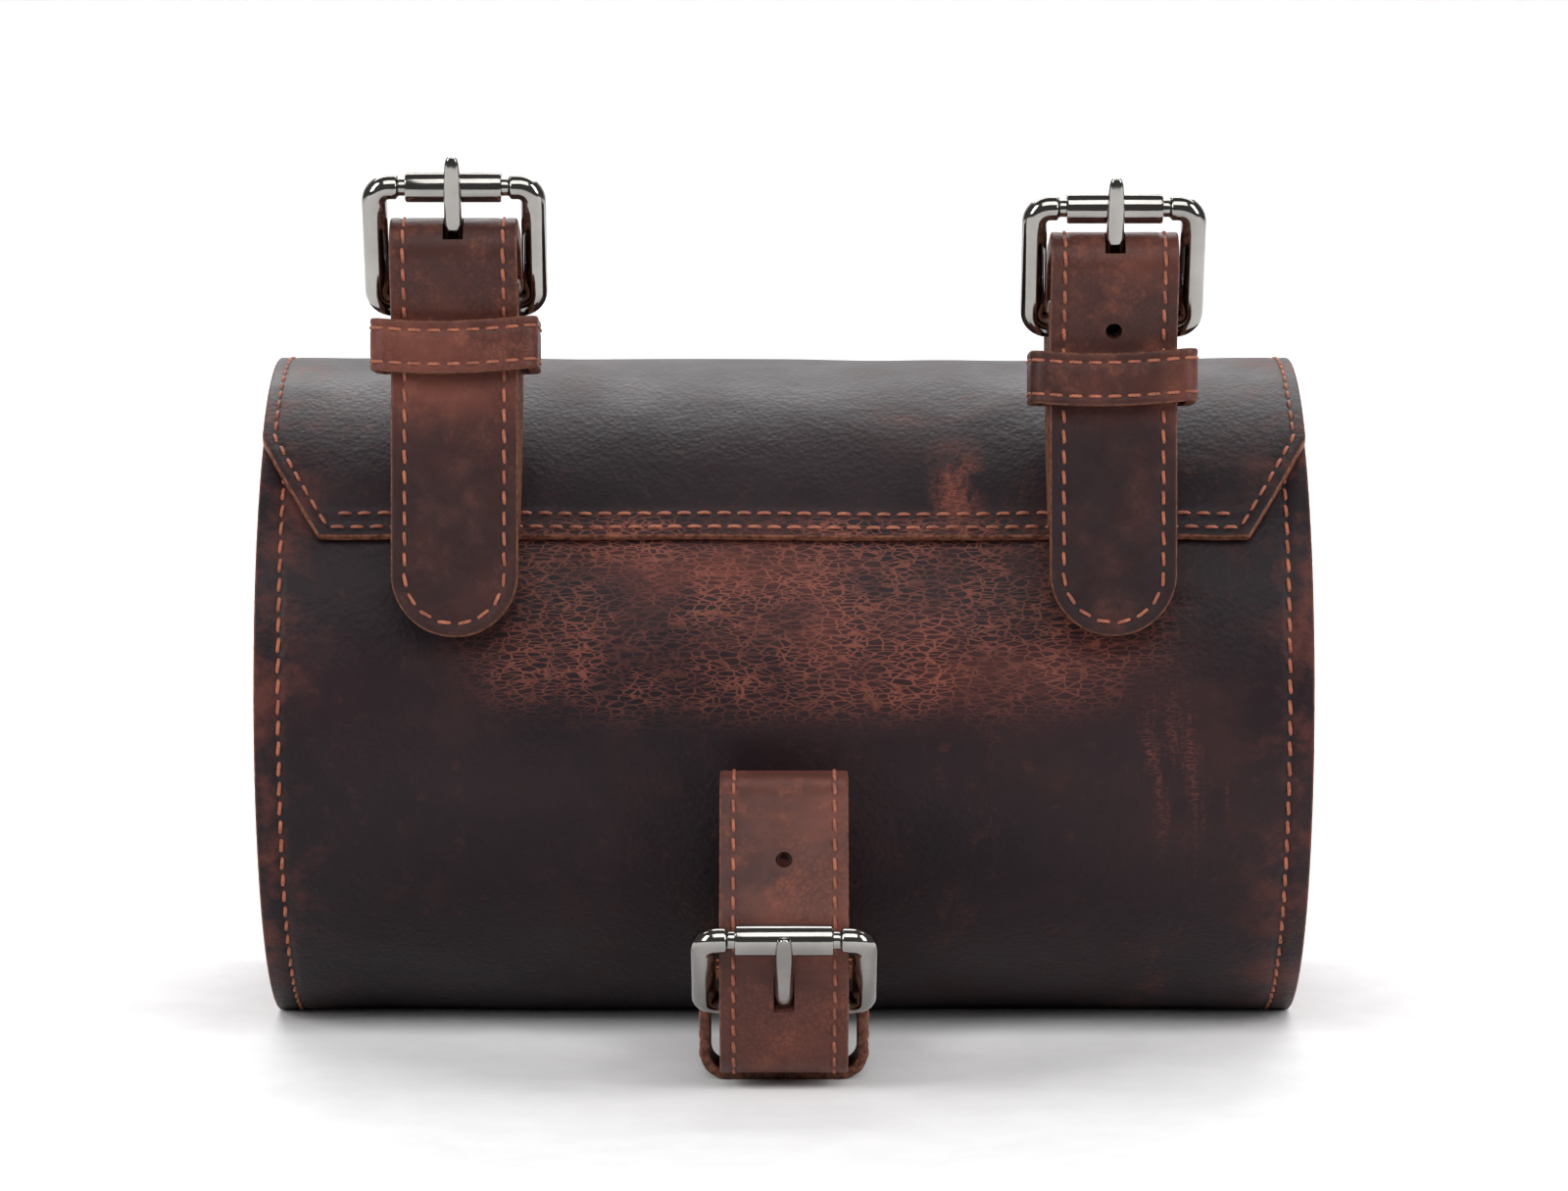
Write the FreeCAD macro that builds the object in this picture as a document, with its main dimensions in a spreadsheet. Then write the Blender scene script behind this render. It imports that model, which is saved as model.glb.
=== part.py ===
import FreeCAD, Part
import math
import os

import Sketcher
from FreeCAD import Placement, Rotation, Vector

# A leather saddle bag: a barrel with a flap, hung from the saddle rails by two buckled straps and
# held to the seat post by a third. Millimetres. X runs along the barrel, -Y is the front and Z is
# up. The origin is on the ground under the barrel's axis.

DRIVING_SIZES = (
    ("bag_width", 210.0, "barrel length along X"),
    ("barrel_radius", 67.0, "outside of the barrel's leather"),
    ("leather", 2.2, "barrel, end panel and flap leather"),
    ("base_half_width", 18.0, "half of the flat strip that the bag stands on"),
    ("mouth_front", 70.0, "angle of the mouth's front edge above the horizontal, in degrees"),
    ("mouth_rear", 128.0, "angle of the mouth's rear edge, in degrees"),
    ("layer_gap", 0.05, "clearance between leathers that lie together"),
    ("rim_depth", 9.0, "depth of the turned rim outside each end panel"),
    ("flap_clearance", 0.15, "gap between the barrel and the flap"),
    ("flap_front", 35.1, "angle of the flap's front edge, in degrees"),
    ("flap_fold", 72.0, "angle of the line where the flap bends open, in degrees"),
    ("flap_crown", 100.0, "angle where the flap starts to stand off the barrel, in degrees"),
    ("flap_rear_radius", 72.0, "inside radius of the flap behind the crown"),
    ("flap_rear", 182.0, "angle of the flap's free edge, in degrees"),
    ("corner_width", 12.5, "clipped flap corner along X"),
    ("corner_height", 17.6, "clipped flap corner along Z"),
    ("strap_width", 25.0, "width of every strap"),
    ("tongue_layer", 1.8, "thickness of each of a tongue's two leathers"),
    ("base_layer", 2.2, "thickness of a buckle strap's single leather"),
    ("saddle_strap_reach", 64.8, "distance of each saddle strap from the middle"),
    ("saddle_lean", 9.0, "backward lean of the saddle straps, in degrees"),
    ("buckle_width", 36.2, "outside width of a buckle frame"),
    ("buckle_wire", 5.0, "wire diameter of a buckle frame"),
    ("buckle_reach", 25.0, "heel bar axis to roller axis"),
    ("buckle_corner", 3.0, "corner radius of the wire's middle line"),
    ("neck_radius", 1.8, "thin part of the top bar, inside the roller"),
    ("neck_length", 22.0, "length of the thin part of the top bar"),
    ("roller_radius", 3.1, "outside of the roller"),
    ("roller_length", 19.0, "length of the roller"),
    ("prong_width", 3.5, "width of the prong"),
    ("prong_thickness", 2.8, "thickness of the prong"),
    ("prong_reach", 33.3, "heel bar axis to the prong's tip"),
    ("running_gap", 0.06, "radial clearance of a turning fit"),
    ("saddle_buckle_tilt", 19.0, "forward tilt of the saddle strap buckles, in degrees"),
    ("post_buckle_tilt", 49.7, "forward tilt of the post strap buckle, in degrees"),
    ("keeper_width", 33.0, "outside width of a keeper loop"),
    ("keeper_depth", 20.0, "outside depth of a saddle strap keeper"),
    ("post_keeper_depth", 22.2, "outside depth of the post strap keeper"),
    ("keeper_height", 10.4, "keeper size along its strap"),
    ("keeper_wall", 2.1, "keeper leather"),
    ("hole_radius", 1.65, "spare holes in the tongues"),
    ("snap_angle", 168.0, "angle of the press studs on the flap's rear arc, in degrees"),
    ("cap_radius", 6.2, "press stud cap"),
    ("socket_radius", 5.0, "press stud socket"),
    ("stud_radius", 4.5, "press stud base"),
    ("nub_radius", 2.2, "press stud nub"),
    ("rivet_radius", 4.0, "press stud rivet head"),
    ("rivet_hole", 1.7, "radius of the barrel's hole for a press stud's rivet"),
    ("cap_hole", 2.0, "radius of the flap's hole for a press stud's cap"),
    ("prong_slack", 0.6, "slot width beyond the prong's own width"),
    ("sewn_gap", 0.1, "clearance between a strap and the leather that it is sewn to"),
    ("bar_gap", 0.09, "clearance between the heel bar and the strap folded round it"),
)

doc = FreeCAD.newDocument("saddle_bag")
sheet = doc.addObject("Spreadsheet::Sheet", "dims")
for row, (alias, value, note) in enumerate(DRIVING_SIZES, start=1):
    sheet.set(f"A{row}", alias)
    sheet.set(f"B{row}", str(value))
    sheet.set(f"C{row}", note)
    sheet.setAlias(f"B{row}", alias)
doc.recompute()

subparts = []


def dim(alias):
    return float(sheet.get(alias))


# Barrel section. Angles are measured at the barrel's axis from the front, over the top.

radius = dim("barrel_radius")
leather = dim("leather")
axis_height = math.sqrt(radius ** 2 - dim("base_half_width") ** 2)
centre = Vector(0, axis_height, 0)


def outward(degrees):
    """Unit vector in the section, as (Y, Z), that points from the axis at an angle."""
    angle = math.radians(degrees)
    return Vector(-math.cos(angle), math.sin(angle), 0)


def upward(degrees):
    """Unit vector along the barrel's surface at an angle, towards the top at the front."""
    angle = math.radians(degrees)
    return Vector(math.sin(angle), math.cos(angle), 0)


def on_barrel(distance, degrees, along=0):
    """Point at a distance from the axis, moved along the tangent there."""
    return centre + outward(degrees) * distance + upward(degrees) * along


# Helpers for bodies, sketches and features.

def new_body(label):
    body = doc.addObject("PartDesign::Body", label)
    body.Label = label
    subparts.append(body)
    return body


def new_sketch(body, name, role, offset=Placement()):
    sketch = body.newObject("Sketcher::SketchObject", name)
    planes = [item for item in body.Origin.OriginFeatures if item.Role == role]
    sketch.AttachmentSupport = (planes[0], [""])
    sketch.MapMode = "FlatFace"
    sketch.AttachmentOffset = offset
    return sketch


def line(start, end):
    return Part.LineSegment(start, end)


def arc(middle, arc_radius, start_degrees, end_degrees):
    whole = Part.Circle(middle, Vector(0, 0, 1), arc_radius)
    return Part.ArcOfCircle(whole, math.radians(start_degrees), math.radians(end_degrees))


def circle(middle, circle_radius):
    return Part.Circle(middle, Vector(0, 0, 1), circle_radius)


def add_loop(sketch, curves):
    """Draw a closed loop of curves and join each curve's end to the next one's start."""
    first = sketch.GeometryCount
    sketch.addGeometry(curves, False)
    joined = set()
    for index, curve in enumerate(curves):
        follower = (index + 1) % len(curves)
        ends = [(1, curve.StartPoint), (2, curve.EndPoint)]
        starts = [(1, curves[follower].StartPoint), (2, curves[follower].EndPoint)]
        pairs = [(a.distanceToPoint(b), p, q) for p, a in ends for q, b in starts
                 if (index, p) not in joined and (follower, q) not in joined]
        _, here, there = min(pairs)
        joined.update(((index, here), (follower, there)))
        sketch.addConstraint(
            Sketcher.Constraint("Coincident", first + index, here, first + follower, there))


def bind(sketch, kind, geometry, value, name, expression):
    """Add a named size constraint whose value comes from the sheet."""
    index = sketch.addConstraint(Sketcher.Constraint(kind, geometry, value))
    sketch.renameConstraint(index, name)
    sketch.setExpression(f"Constraints.{name}", expression)


def pad(body, sketch, length, symmetric=True):
    feature = body.newObject("PartDesign::Pad", "Pad")
    feature.Profile = sketch
    feature.SideType = "Symmetric" if symmetric else "One side"
    feature.setExpression("Length", length)
    return feature


def pocket_through(body, sketch, name="Pocket"):
    feature = body.newObject("PartDesign::Pocket", name)
    feature.Profile = sketch
    feature.Type = "ThroughAll"
    feature.SideType = "Symmetric"
    return feature


def recomputed_volume(body):
    doc.recompute()
    return body.Shape.Volume


def check_cut(body, before):
    """Stop if the last feature has removed nothing."""
    after = recomputed_volume(body)
    if not after < before - 0.01:
        raise RuntimeError(f"{body.Label}: the cut removed nothing")


def fillet_edges(body, base, size, chosen):
    """Round the base feature's edges that a test picks, and keep the result as the tip."""
    doc.recompute()
    names = [f"Edge{index}" for index, edge in enumerate(base.Shape.Edges, start=1) if chosen(edge)]
    if not names:
        raise RuntimeError(f"{body.Label}: no edge to round")
    feature = body.newObject("PartDesign::Fillet", "Fillet")
    feature.Base = (base, names)
    feature.setExpression("Radius", size)
    doc.recompute()
    return feature


# Barrel, end panels and flap.

def flat_edge_angle(circle_radius, height):
    """Sketch angle of the rear end of the flat strip on a circle of the section."""
    return -math.degrees(math.asin((axis_height - height) / circle_radius))


def barrel_curves(circle_radius, height):
    """The barrel's open outline from the mouth's front edge, under the bag, to its rear edge."""
    rear_flat = flat_edge_angle(circle_radius, height)
    front_flat = 180 - rear_flat
    front = arc(centre, circle_radius, 180 - dim("mouth_front"), front_flat)
    rear = arc(centre, circle_radius, 360 + rear_flat, 540 - dim("mouth_rear"))
    return [front, line(front.EndPoint, rear.StartPoint), rear]


def build_barrel():
    body = new_body("body_shell")
    sketch = new_sketch(body, "Section", "YZ_Plane")
    outer = barrel_curves(radius, 0)
    inner = barrel_curves(radius - leather, leather)
    rear_edge = line(outer[2].EndPoint, inner[2].EndPoint)
    front_edge = line(inner[0].StartPoint, outer[0].StartPoint)
    add_loop(sketch, outer + [rear_edge] + inner[::-1] + [front_edge])
    bind(sketch, "Radius", 0, radius, "front_outside", "dims.barrel_radius")
    bind(sketch, "Radius", 2, radius, "rear_outside", "dims.barrel_radius")
    bind(sketch, "Radius", 4, radius - leather, "rear_inside", "dims.barrel_radius - dims.leather")
    bind(sketch, "Radius", 6, radius - leather, "front_inside", "dims.barrel_radius - dims.leather")
    pad(body, sketch, "dims.bag_width")
    return body


def end_outline(inset):
    """Closed outline of the barrel's inside, moved inwards."""
    circle_radius = radius - inset
    rear_flat = flat_edge_angle(circle_radius, inset)
    round_part = arc(centre, circle_radius, rear_flat, 180 - rear_flat)
    return [round_part, line(round_part.EndPoint, round_part.StartPoint)]


def build_end_panel(label, side):
    """A dished end: a disc with a rim that is turned outwards and sewn inside the barrel."""
    body = new_body(label)
    rim_inset = leather + dim("layer_gap")
    mouth = Vector(0, 0, side * dim("bag_width") / 2)
    outline = new_sketch(body, "Outline", "YZ_Plane", Placement(mouth, Rotation()))
    add_loop(outline, end_outline(rim_inset))
    bind(outline, "Radius", 0, radius - rim_inset, "rim",
         "dims.barrel_radius - dims.leather - dims.layer_gap")
    disc = pad(body, outline, "dims.rim_depth + dims.leather", symmetric=False)
    disc.Reversed = side > 0
    before = recomputed_volume(body)
    recess = new_sketch(body, "Recess", "YZ_Plane", Placement(mouth, Rotation()))
    add_loop(recess, end_outline(rim_inset + leather))
    dish = body.newObject("PartDesign::Pocket", "Dish")
    dish.Profile = recess
    dish.Reversed = side < 0
    dish.setExpression("Length", "dims.rim_depth")
    check_cut(body, before)
    disc_back = side * (dim("bag_width") / 2 - dim("rim_depth") - leather)
    fillet_edges(body, dish, "dims.leather * 1.6",
                 lambda edge: all(abs(vertex.X - disc_back) < 0.01 for vertex in edge.Vertexes)
                 and edge.Length > dim("bag_width"))
    return body


def sector(middle, inner, outer, start, end):
    """Closed band between two radii, from one section angle to a larger one."""
    inside = arc(middle, inner, 180 - end, 180 - start)
    outside = arc(middle, outer, 180 - end, 180 - start)
    return [outside, line(outside.EndPoint, inside.EndPoint), inside,
            line(inside.StartPoint, outside.StartPoint)]


flap_inside = radius + dim("flap_clearance")
flap_outside = flap_inside + leather
flap_half_gap = 0.5    # degrees each side of the fold
rear_centre = centre - outward(dim("flap_crown")) * (dim("flap_rear_radius") - flap_inside)


def clip_corners(body, edge_height, upward_sign):
    """Cut both corners of a flap edge that lies at a height."""
    half = dim("bag_width") / 2
    margin = 2.0
    sketch = new_sketch(body, "Corners", "XZ_Plane")
    for side in (-1, 1):
        low = edge_height - margin * upward_sign
        rise = dim("corner_height") * upward_sign
        inner_x = side * (half - dim("corner_width"))
        points = [Vector(inner_x, low, 0), Vector(inner_x, edge_height, 0),
                  Vector(side * half, edge_height + rise, 0),
                  Vector(side * (half + margin), edge_height + rise, 0),
                  Vector(side * (half + margin), low, 0)]
        add_loop(sketch, [line(a, b) for a, b in zip(points, points[1:] + points[:1])])
    return pocket_through(body, sketch, "ClippedCorners")


def build_flap_band():
    """The flap's front strip, sewn to the barrel."""
    body = new_body("flap_front_band")
    sketch = new_sketch(body, "Section", "YZ_Plane")
    add_loop(sketch, sector(centre, flap_inside, flap_outside,
                            dim("flap_front"), dim("flap_fold") - flap_half_gap))
    bind(sketch, "Radius", 0, flap_outside, "outside",
         "dims.barrel_radius + dims.flap_clearance + dims.leather")
    bind(sketch, "Radius", 2, flap_inside, "inside", "dims.barrel_radius + dims.flap_clearance")
    pad(body, sketch, "dims.bag_width")
    before = recomputed_volume(body)
    edge = centre.y + flap_outside * math.sin(math.radians(dim("flap_front")))
    clip_corners(body, edge, 1)
    check_cut(body, before)


def snap_frame():
    """Placement of a press stud: Z points out of the bag, from the barrel's outer face."""
    direction = outward(dim("snap_angle"))
    offset = rear_centre - centre
    along = offset.dot(direction)
    reach = -along + math.sqrt(along ** 2 - offset.dot(offset) + radius ** 2)
    foot = rear_centre + direction * reach
    tilt = math.degrees(math.atan2(direction.x, direction.y))
    return Placement(Vector(0, foot.x, foot.y), Rotation(Vector(1, 0, 0), -tilt)), reach


snap_place, snap_reach = snap_frame()
flap_gap = dim("flap_rear_radius") - snap_reach


def snap_places():
    for side in (-1, 1):
        shift = Placement(Vector(side * dim("saddle_strap_reach"), 0, 0), Rotation())
        yield shift * snap_place


def drill(body, name, place, hole_radius, start, length):
    """Cut a round hole along a placement's Z axis."""
    cutter = body.newObject("PartDesign::SubtractiveCylinder", name)
    cutter.Radius = hole_radius
    cutter.Height = length
    cutter.Placement = place * Placement(Vector(0, 0, start), Rotation())
    return cutter


def build_flap_cover():
    """The flap's moving sheet: over the crown, then down the back, standing off the barrel."""
    body = new_body("flap_cover")
    sketch = new_sketch(body, "Section", "YZ_Plane")
    rear_inside = dim("flap_rear_radius")
    crown = 180 - dim("flap_crown")
    start = 180 - dim("flap_fold") - flap_half_gap
    end = 180 - dim("flap_rear")
    top_out = arc(centre, flap_outside, crown, start)
    rear_out = arc(rear_centre, rear_inside + leather, end, crown)
    top_in = arc(centre, flap_inside, crown, start)
    rear_in = arc(rear_centre, rear_inside, end, crown)
    add_loop(sketch, [top_out, rear_out, line(rear_out.StartPoint, rear_in.StartPoint),
                      rear_in, top_in, line(top_in.EndPoint, top_out.EndPoint)])
    bind(sketch, "Radius", 1, rear_inside + leather, "rear_outside",
         "dims.flap_rear_radius + dims.leather")
    bind(sketch, "Radius", 3, rear_inside, "rear_inside", "dims.flap_rear_radius")
    pad(body, sketch, "dims.bag_width")
    before = recomputed_volume(body)
    clip_corners(body, rear_out.StartPoint.y, 1)
    check_cut(body, before)
    before = body.Shape.Volume
    for place in snap_places():
        drill(body, "CapHole", place, dim("cap_hole"), flap_gap - 1, leather + 2)
    check_cut(body, before)


# Press studs: a cap and a socket on the flap, a stud and its rivet on the barrel.

def turned_pair(label, outline):
    """Two copies of a turned piece, one at each press stud, as one node."""
    profile = doc.addObject("Part::Feature", f"{label}_profile")
    points = [Vector(r, 0, z) for r, z in outline]
    profile.Shape = Part.Face(Part.makePolygon(points + points[:1]))
    copies = []
    for index, place in enumerate(snap_places()):
        turned = doc.addObject("Part::Revolution", f"{label}_{index + 1}")
        turned.Source = profile
        turned.Axis = Vector(0, 0, 1)
        turned.Angle = 360
        turned.Solid = True
        turned.Placement = place
        copies.append(turned)
    group = doc.addObject("Part::Compound", label)
    group.Label = label
    group.Links = copies
    subparts.append(group)


def build_snaps():
    seat = 0.35    # clears the barrel, which is curved and not quite square to the stud
    stud_top = seat + 0.8
    nub_top = stud_top + 0.75
    socket_low = nub_top - 0.5
    cavity_top = 2.55
    socket_top = 3.0
    cap_low = flap_gap + leather + dim("layer_gap")
    dome = [(dim("cap_radius") * math.cos(math.radians(a)),
             cap_low + 0.8 + 1.8 * math.sin(math.radians(a))) for a in range(0, 90, 15)]
    turned_pair("snap_caps", [(0, socket_top), (1.8, socket_top), (1.8, cap_low),
                              (dim("cap_radius"), cap_low)] + dome + [(0, cap_low + 2.6)])
    cavity = dim("nub_radius") + 1.1
    turned_pair("snap_sockets", [(0, cavity_top), (cavity, cavity_top), (cavity, socket_low),
                                 (dim("socket_radius"), socket_low),
                                 (dim("socket_radius"), socket_top), (0, socket_top)])
    turned_pair("snap_studs", [(0, seat), (dim("stud_radius"), seat),
                               (dim("stud_radius"), stud_top),
                               (dim("nub_radius"), stud_top), (dim("nub_radius"), nub_top),
                               (0, nub_top)])
    head_top = -leather - seat - 0.1
    turned_pair("snap_rivets", [(0, head_top - 0.75), (dim("rivet_radius"), head_top - 0.75),
                                (dim("rivet_radius"), head_top), (1.5, head_top),
                                (1.5, seat), (0, seat)])


# Straps: straight runs rounded by tangent arcs, extruded across the strap.

def heading(vector):
    return math.degrees(math.atan2(vector.y, vector.x))


def leftward(vector):
    return Vector(-vector.y, vector.x, 0)


def offset_curves(corners, shift):
    """Curves that follow a route at a distance to its left. Corners are (point, arc radius)."""
    curves = []
    previous = None
    for index, (point, bend) in enumerate(corners):
        if index == 0:
            previous = point + leftward((corners[1][0] - point).normalize()) * shift
            continue
        arriving = (point - corners[index - 1][0]).normalize()
        if index == len(corners) - 1:
            curves.append(line(previous, point + leftward(arriving) * shift))
            break
        leaving = (corners[index + 1][0] - point).normalize()
        turn = (heading(leaving) - heading(arriving) + 180) % 360 - 180
        sign = 1 if turn > 0 else -1
        tangent = bend * math.tan(math.radians(abs(turn) / 2))
        middle = point - arriving * tangent + leftward(arriving) * (sign * bend)
        rounded = bend - sign * shift
        enter = middle - leftward(arriving) * (sign * rounded)
        exit_point = middle - leftward(leaving) * (sign * rounded)
        curves.append(line(previous, enter))
        first = heading(enter - middle)
        last = first + turn
        curves.append(arc(middle, rounded, min(first, last), max(first, last)))
        previous = exit_point
    return curves


def strap_sketch(body, corners, left, right):
    """Closed side view of a strap between two distances to the left of its route."""
    sketch = new_sketch(body, "SideView", "YZ_Plane")
    near = offset_curves(corners, left)
    far = offset_curves(corners, right)
    start_cap = line(far[0].StartPoint, near[0].StartPoint)
    end_cap = line(near[-1].EndPoint, far[-1].EndPoint)
    add_loop(sketch, near + [end_cap] + far[::-1] + [start_cap])
    return sketch


def build_strap(label, x, corners, left, right):
    body = new_body(label)
    feature = pad(body, strap_sketch(body, corners, left, right), "dims.strap_width")
    body.Placement = Placement(Vector(x, 0, 0), Rotation())
    doc.recompute()
    return body, feature


def round_tip(body, feature, tip):
    """Round the two corners of the strap's end into a half circle."""
    half = dim("strap_width") / 2
    shortest = dim("tongue_layer") * 2

    def at_tip(edge):
        ends = [vertex.Point for vertex in edge.Vertexes]
        near = all((Vector(p.y, p.z, 0) - tip).Length < shortest for p in ends)
        across = all(abs(abs(p.x) - half) < 0.01 for p in ends)
        return near and across and edge.Length < shortest
    return fillet_edges(body, feature, "dims.strap_width / 2 - 0.05", at_tip)


def build_tongue(name, x, corners, buckle, slot, holes):
    """A tongue's face and lining. Corners run from the tip; the face is on the route's left."""
    gap = dim("layer_gap") / 2
    layer = dim("tongue_layer")
    tip = corners[0][0]
    for part_name, left, right in (("face", layer, gap), ("lining", -gap, -layer)):
        body, feature = build_strap(f"{name}_tongue_{part_name}", x, corners, left, right)
        round_tip(body, feature, tip)
        before = recomputed_volume(body)
        front, back, low, high = slot
        passage = body.newObject("PartDesign::SubtractiveBox", "ProngSlot")
        passage.Length = dim("prong_width") + dim("prong_slack")
        passage.Width = front - back
        passage.Height = high - low
        corner = Vector(-passage.Length.Value / 2, -front, low)
        passage.Placement = buckle * Placement(corner, Rotation())
        for run, distance in holes:
            start, end = corners[run][0], corners[run + 1][0]
            along = (end - start).normalize()
            spot = start + along * distance
            place = Placement(Vector(0, spot.x, spot.y),
                              Rotation(Vector(0, 0, 1), Vector(0, *leftward(along)[:2])))
            drill(body, "SpareHole", place, dim("hole_radius"), -4, 8)
        check_cut(body, before)


slot_reach = 7.0    # from the heel bar, past the strap folded round it


def build_base_strap(name, x, heel, root, angle, tail, rise, root_bend, buckle):
    """A strap folded round the heel bar. Both ends are sewn flat to the barrel at an angle."""
    base = dim("base_layer")
    inner = root + base / 2
    outer = inner + base + dim("layer_gap")
    half = base / 2 + dim("layer_gap")
    wrap = dim("buckle_wire") / 2 + dim("bar_gap") + base / 2
    bend = wrap - 0.4
    turn = (heel - on_barrel(inner, angle, rise)).getAngle(upward(angle))
    slip = (2 * half - (outer - inner) * math.cos(turn)) / math.sin(turn)
    inner_corner = on_barrel(inner, angle, rise)
    outer_corner = on_barrel(outer, angle, rise - slip)
    along = (heel - (inner_corner + outer_corner) * 0.5).normalize()
    across = leftward(along) * -1
    corners = [(on_barrel(inner, angle, -tail), 0), (inner_corner, root_bend),
               (heel + across * half - along * 10, 12),
               (heel + across * wrap - along * 1.5, 6),
               (heel + across * wrap + along * wrap, bend),
               (heel - across * wrap + along * wrap, bend),
               (heel - across * wrap - along * 1.5, 6),
               (heel - across * half - along * 10, 12),
               (outer_corner, root_bend + 2), (on_barrel(outer, angle, -tail), 0)]
    body, _ = build_strap(f"{name}_buckle_strap", x, corners, base / 2, -base / 2)
    before = recomputed_volume(body)
    slot = body.newObject("PartDesign::SubtractiveBox", "ProngSlot")
    slot.Length = dim("prong_width") + dim("prong_slack")
    slot.Width = slot.Height = 2 * slot_reach
    corner = Vector(-slot.Length.Value / 2, -slot_reach, 1 - slot_reach)
    slot.Placement = buckle * Placement(corner, Rotation())
    check_cut(body, before)


# Buckles. Each is drawn with its heel bar on X, its roller above it and its front to -Y.

def build_frame(name, place):
    body = new_body(f"{name}_buckle_frame")
    half = (dim("buckle_width") - dim("buckle_wire")) / 2
    reach = dim("buckle_reach")
    bend = dim("buckle_corner")
    spine = new_sketch(body, "Spine", "XZ_Plane")
    spine_curves = [
        line(Vector(-half, reach / 2, 0), Vector(-half, reach - bend, 0)),
        arc(Vector(-half + bend, reach - bend, 0), bend, 90, 180),
        line(Vector(-half + bend, reach, 0), Vector(half - bend, reach, 0)),
        arc(Vector(half - bend, reach - bend, 0), bend, 0, 90),
        line(Vector(half, reach - bend, 0), Vector(half, bend, 0)),
        arc(Vector(half - bend, bend, 0), bend, 270, 360),
        line(Vector(half - bend, 0, 0), Vector(-half + bend, 0, 0)),
        arc(Vector(-half + bend, bend, 0), bend, 180, 270),
        line(Vector(-half, bend, 0), Vector(-half, reach / 2, 0))]
    add_loop(spine, spine_curves)
    section = new_sketch(body, "Wire", "XY_Plane",
                         Placement(Vector(0, 0, reach / 2), Rotation()))
    section.addGeometry(circle(Vector(-half, 0, 0), dim("buckle_wire") / 2), False)
    bind(section, "Radius", 0, dim("buckle_wire") / 2, "wire", "dims.buckle_wire / 2")
    doc.recompute()
    pipe = body.newObject("PartDesign::AdditivePipe", "Ring")
    pipe.Profile = section
    pipe.Spine = (spine, [f"Edge{index}" for index in range(1, len(spine_curves) + 1)])
    before = recomputed_volume(body)
    neck = new_sketch(body, "Neck", "XZ_Plane", Placement(Vector(0, reach, 0), Rotation()))
    across = dim("neck_length") / 2
    wide = dim("buckle_wire")
    points = [Vector(-across, dim("neck_radius"), 0), Vector(across, dim("neck_radius"), 0),
              Vector(across, wide, 0), Vector(-across, wide, 0)]
    add_loop(neck, [line(a, b) for a, b in zip(points, points[1:] + points[:1])])
    groove = body.newObject("PartDesign::Groove", "NeckGroove")
    groove.Profile = neck
    groove.ReferenceAxis = (neck, ["H_Axis"])
    groove.Angle = 360
    check_cut(body, before)
    body.Placement = place


def build_roller(name, place):
    tube = doc.addObject("Part::Cylinder", f"{name}_roller_outside")
    bore = doc.addObject("Part::Cylinder", f"{name}_roller_bore")
    tube.setExpression("Radius", "dims.roller_radius")
    bore.setExpression("Radius", "dims.neck_radius + dims.running_gap")
    for piece in (tube, bore):
        piece.setExpression("Height", "dims.roller_length")
        piece.Placement = Placement(Vector(-dim("roller_length") / 2, 0, dim("buckle_reach")),
                                    Rotation(Vector(0, 1, 0), 90))
    roller = doc.addObject("Part::Cut", f"{name}_buckle_roller")
    roller.Base = tube
    roller.Tool = bore
    roller.Label = f"{name}_buckle_roller"
    roller.Placement = place
    subparts.append(roller)


eye_radius = dim("buckle_wire") / 2 + dim("running_gap") + dim("prong_thickness")
prong_front = dim("roller_radius") + 0.15 + dim("prong_thickness")    # at the roller


def build_prong(name, place):
    """The prong: an eye round the heel bar and a shank that rests on the roller."""
    body = new_body(f"{name}_buckle_prong")
    thick = dim("prong_thickness")
    reach = dim("buckle_reach")
    tip = dim("prong_reach")
    inner = dim("buckle_wire") / 2 + dim("running_gap")
    eye = math.degrees(math.acos(-inner / eye_radius))
    side = new_sketch(body, "SideView", "YZ_Plane")
    ring = arc(Vector(0, 0, 0), eye_radius, 180, 360 + eye)
    back_foot = ring.EndPoint
    front = [Vector(-eye_radius, 0, 0), Vector(-prong_front, reach, 0),
             Vector(-prong_front + 0.9, tip - 1.0, 0)]
    back = [Vector(-prong_front + thick - 0.3, tip, 0), Vector(-prong_front + thick, reach, 0),
            back_foot]
    points = front + back
    add_loop(side, [line(a, b) for a, b in zip(points, points[1:])] + [ring])
    bind(side, "Radius", len(points) - 1, eye_radius, "eye",
         "dims.buckle_wire / 2 + dims.running_gap + dims.prong_thickness")
    shank = pad(body, side, "dims.prong_width")
    half = dim("prong_width") / 2
    fillet_edges(
        body, shank, "dims.prong_width * 0.2",
        lambda edge: all(abs(abs(vertex.X) - half) < 0.01 and vertex.Y < -dim("buckle_wire") / 2
                         for vertex in edge.Vertexes)
        and abs(edge.Vertexes[0].X - edge.Vertexes[-1].X) < 0.01 and edge.Length > 5)
    before = recomputed_volume(body)
    bore = new_sketch(body, "EyeBore", "YZ_Plane")
    bore.addGeometry(circle(Vector(0, 0, 0), inner), False)
    bind(bore, "Radius", 0, inner, "bore", "dims.buckle_wire / 2 + dims.running_gap")
    pocket_through(body, bore, "EyeBore")
    check_cut(body, before)
    body.Placement = place


def rounded_rectangle(width, depth, corner, shift=0.0):
    """Closed rounded rectangle about the sketch's origin, moved along its second axis."""
    x, y = width / 2, depth / 2
    curves = []
    quarters = ((1, 1, 0), (-1, 1, 90), (-1, -1, 180), (1, -1, 270))
    corners = [arc(Vector(i * (x - corner), j * (y - corner) + shift, 0), corner, a, a + 90)
               for i, j, a in quarters]
    for index, here in enumerate(corners):
        curves.append(here)
        curves.append(line(here.EndPoint, corners[(index + 1) % 4].StartPoint))
    return curves


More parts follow.
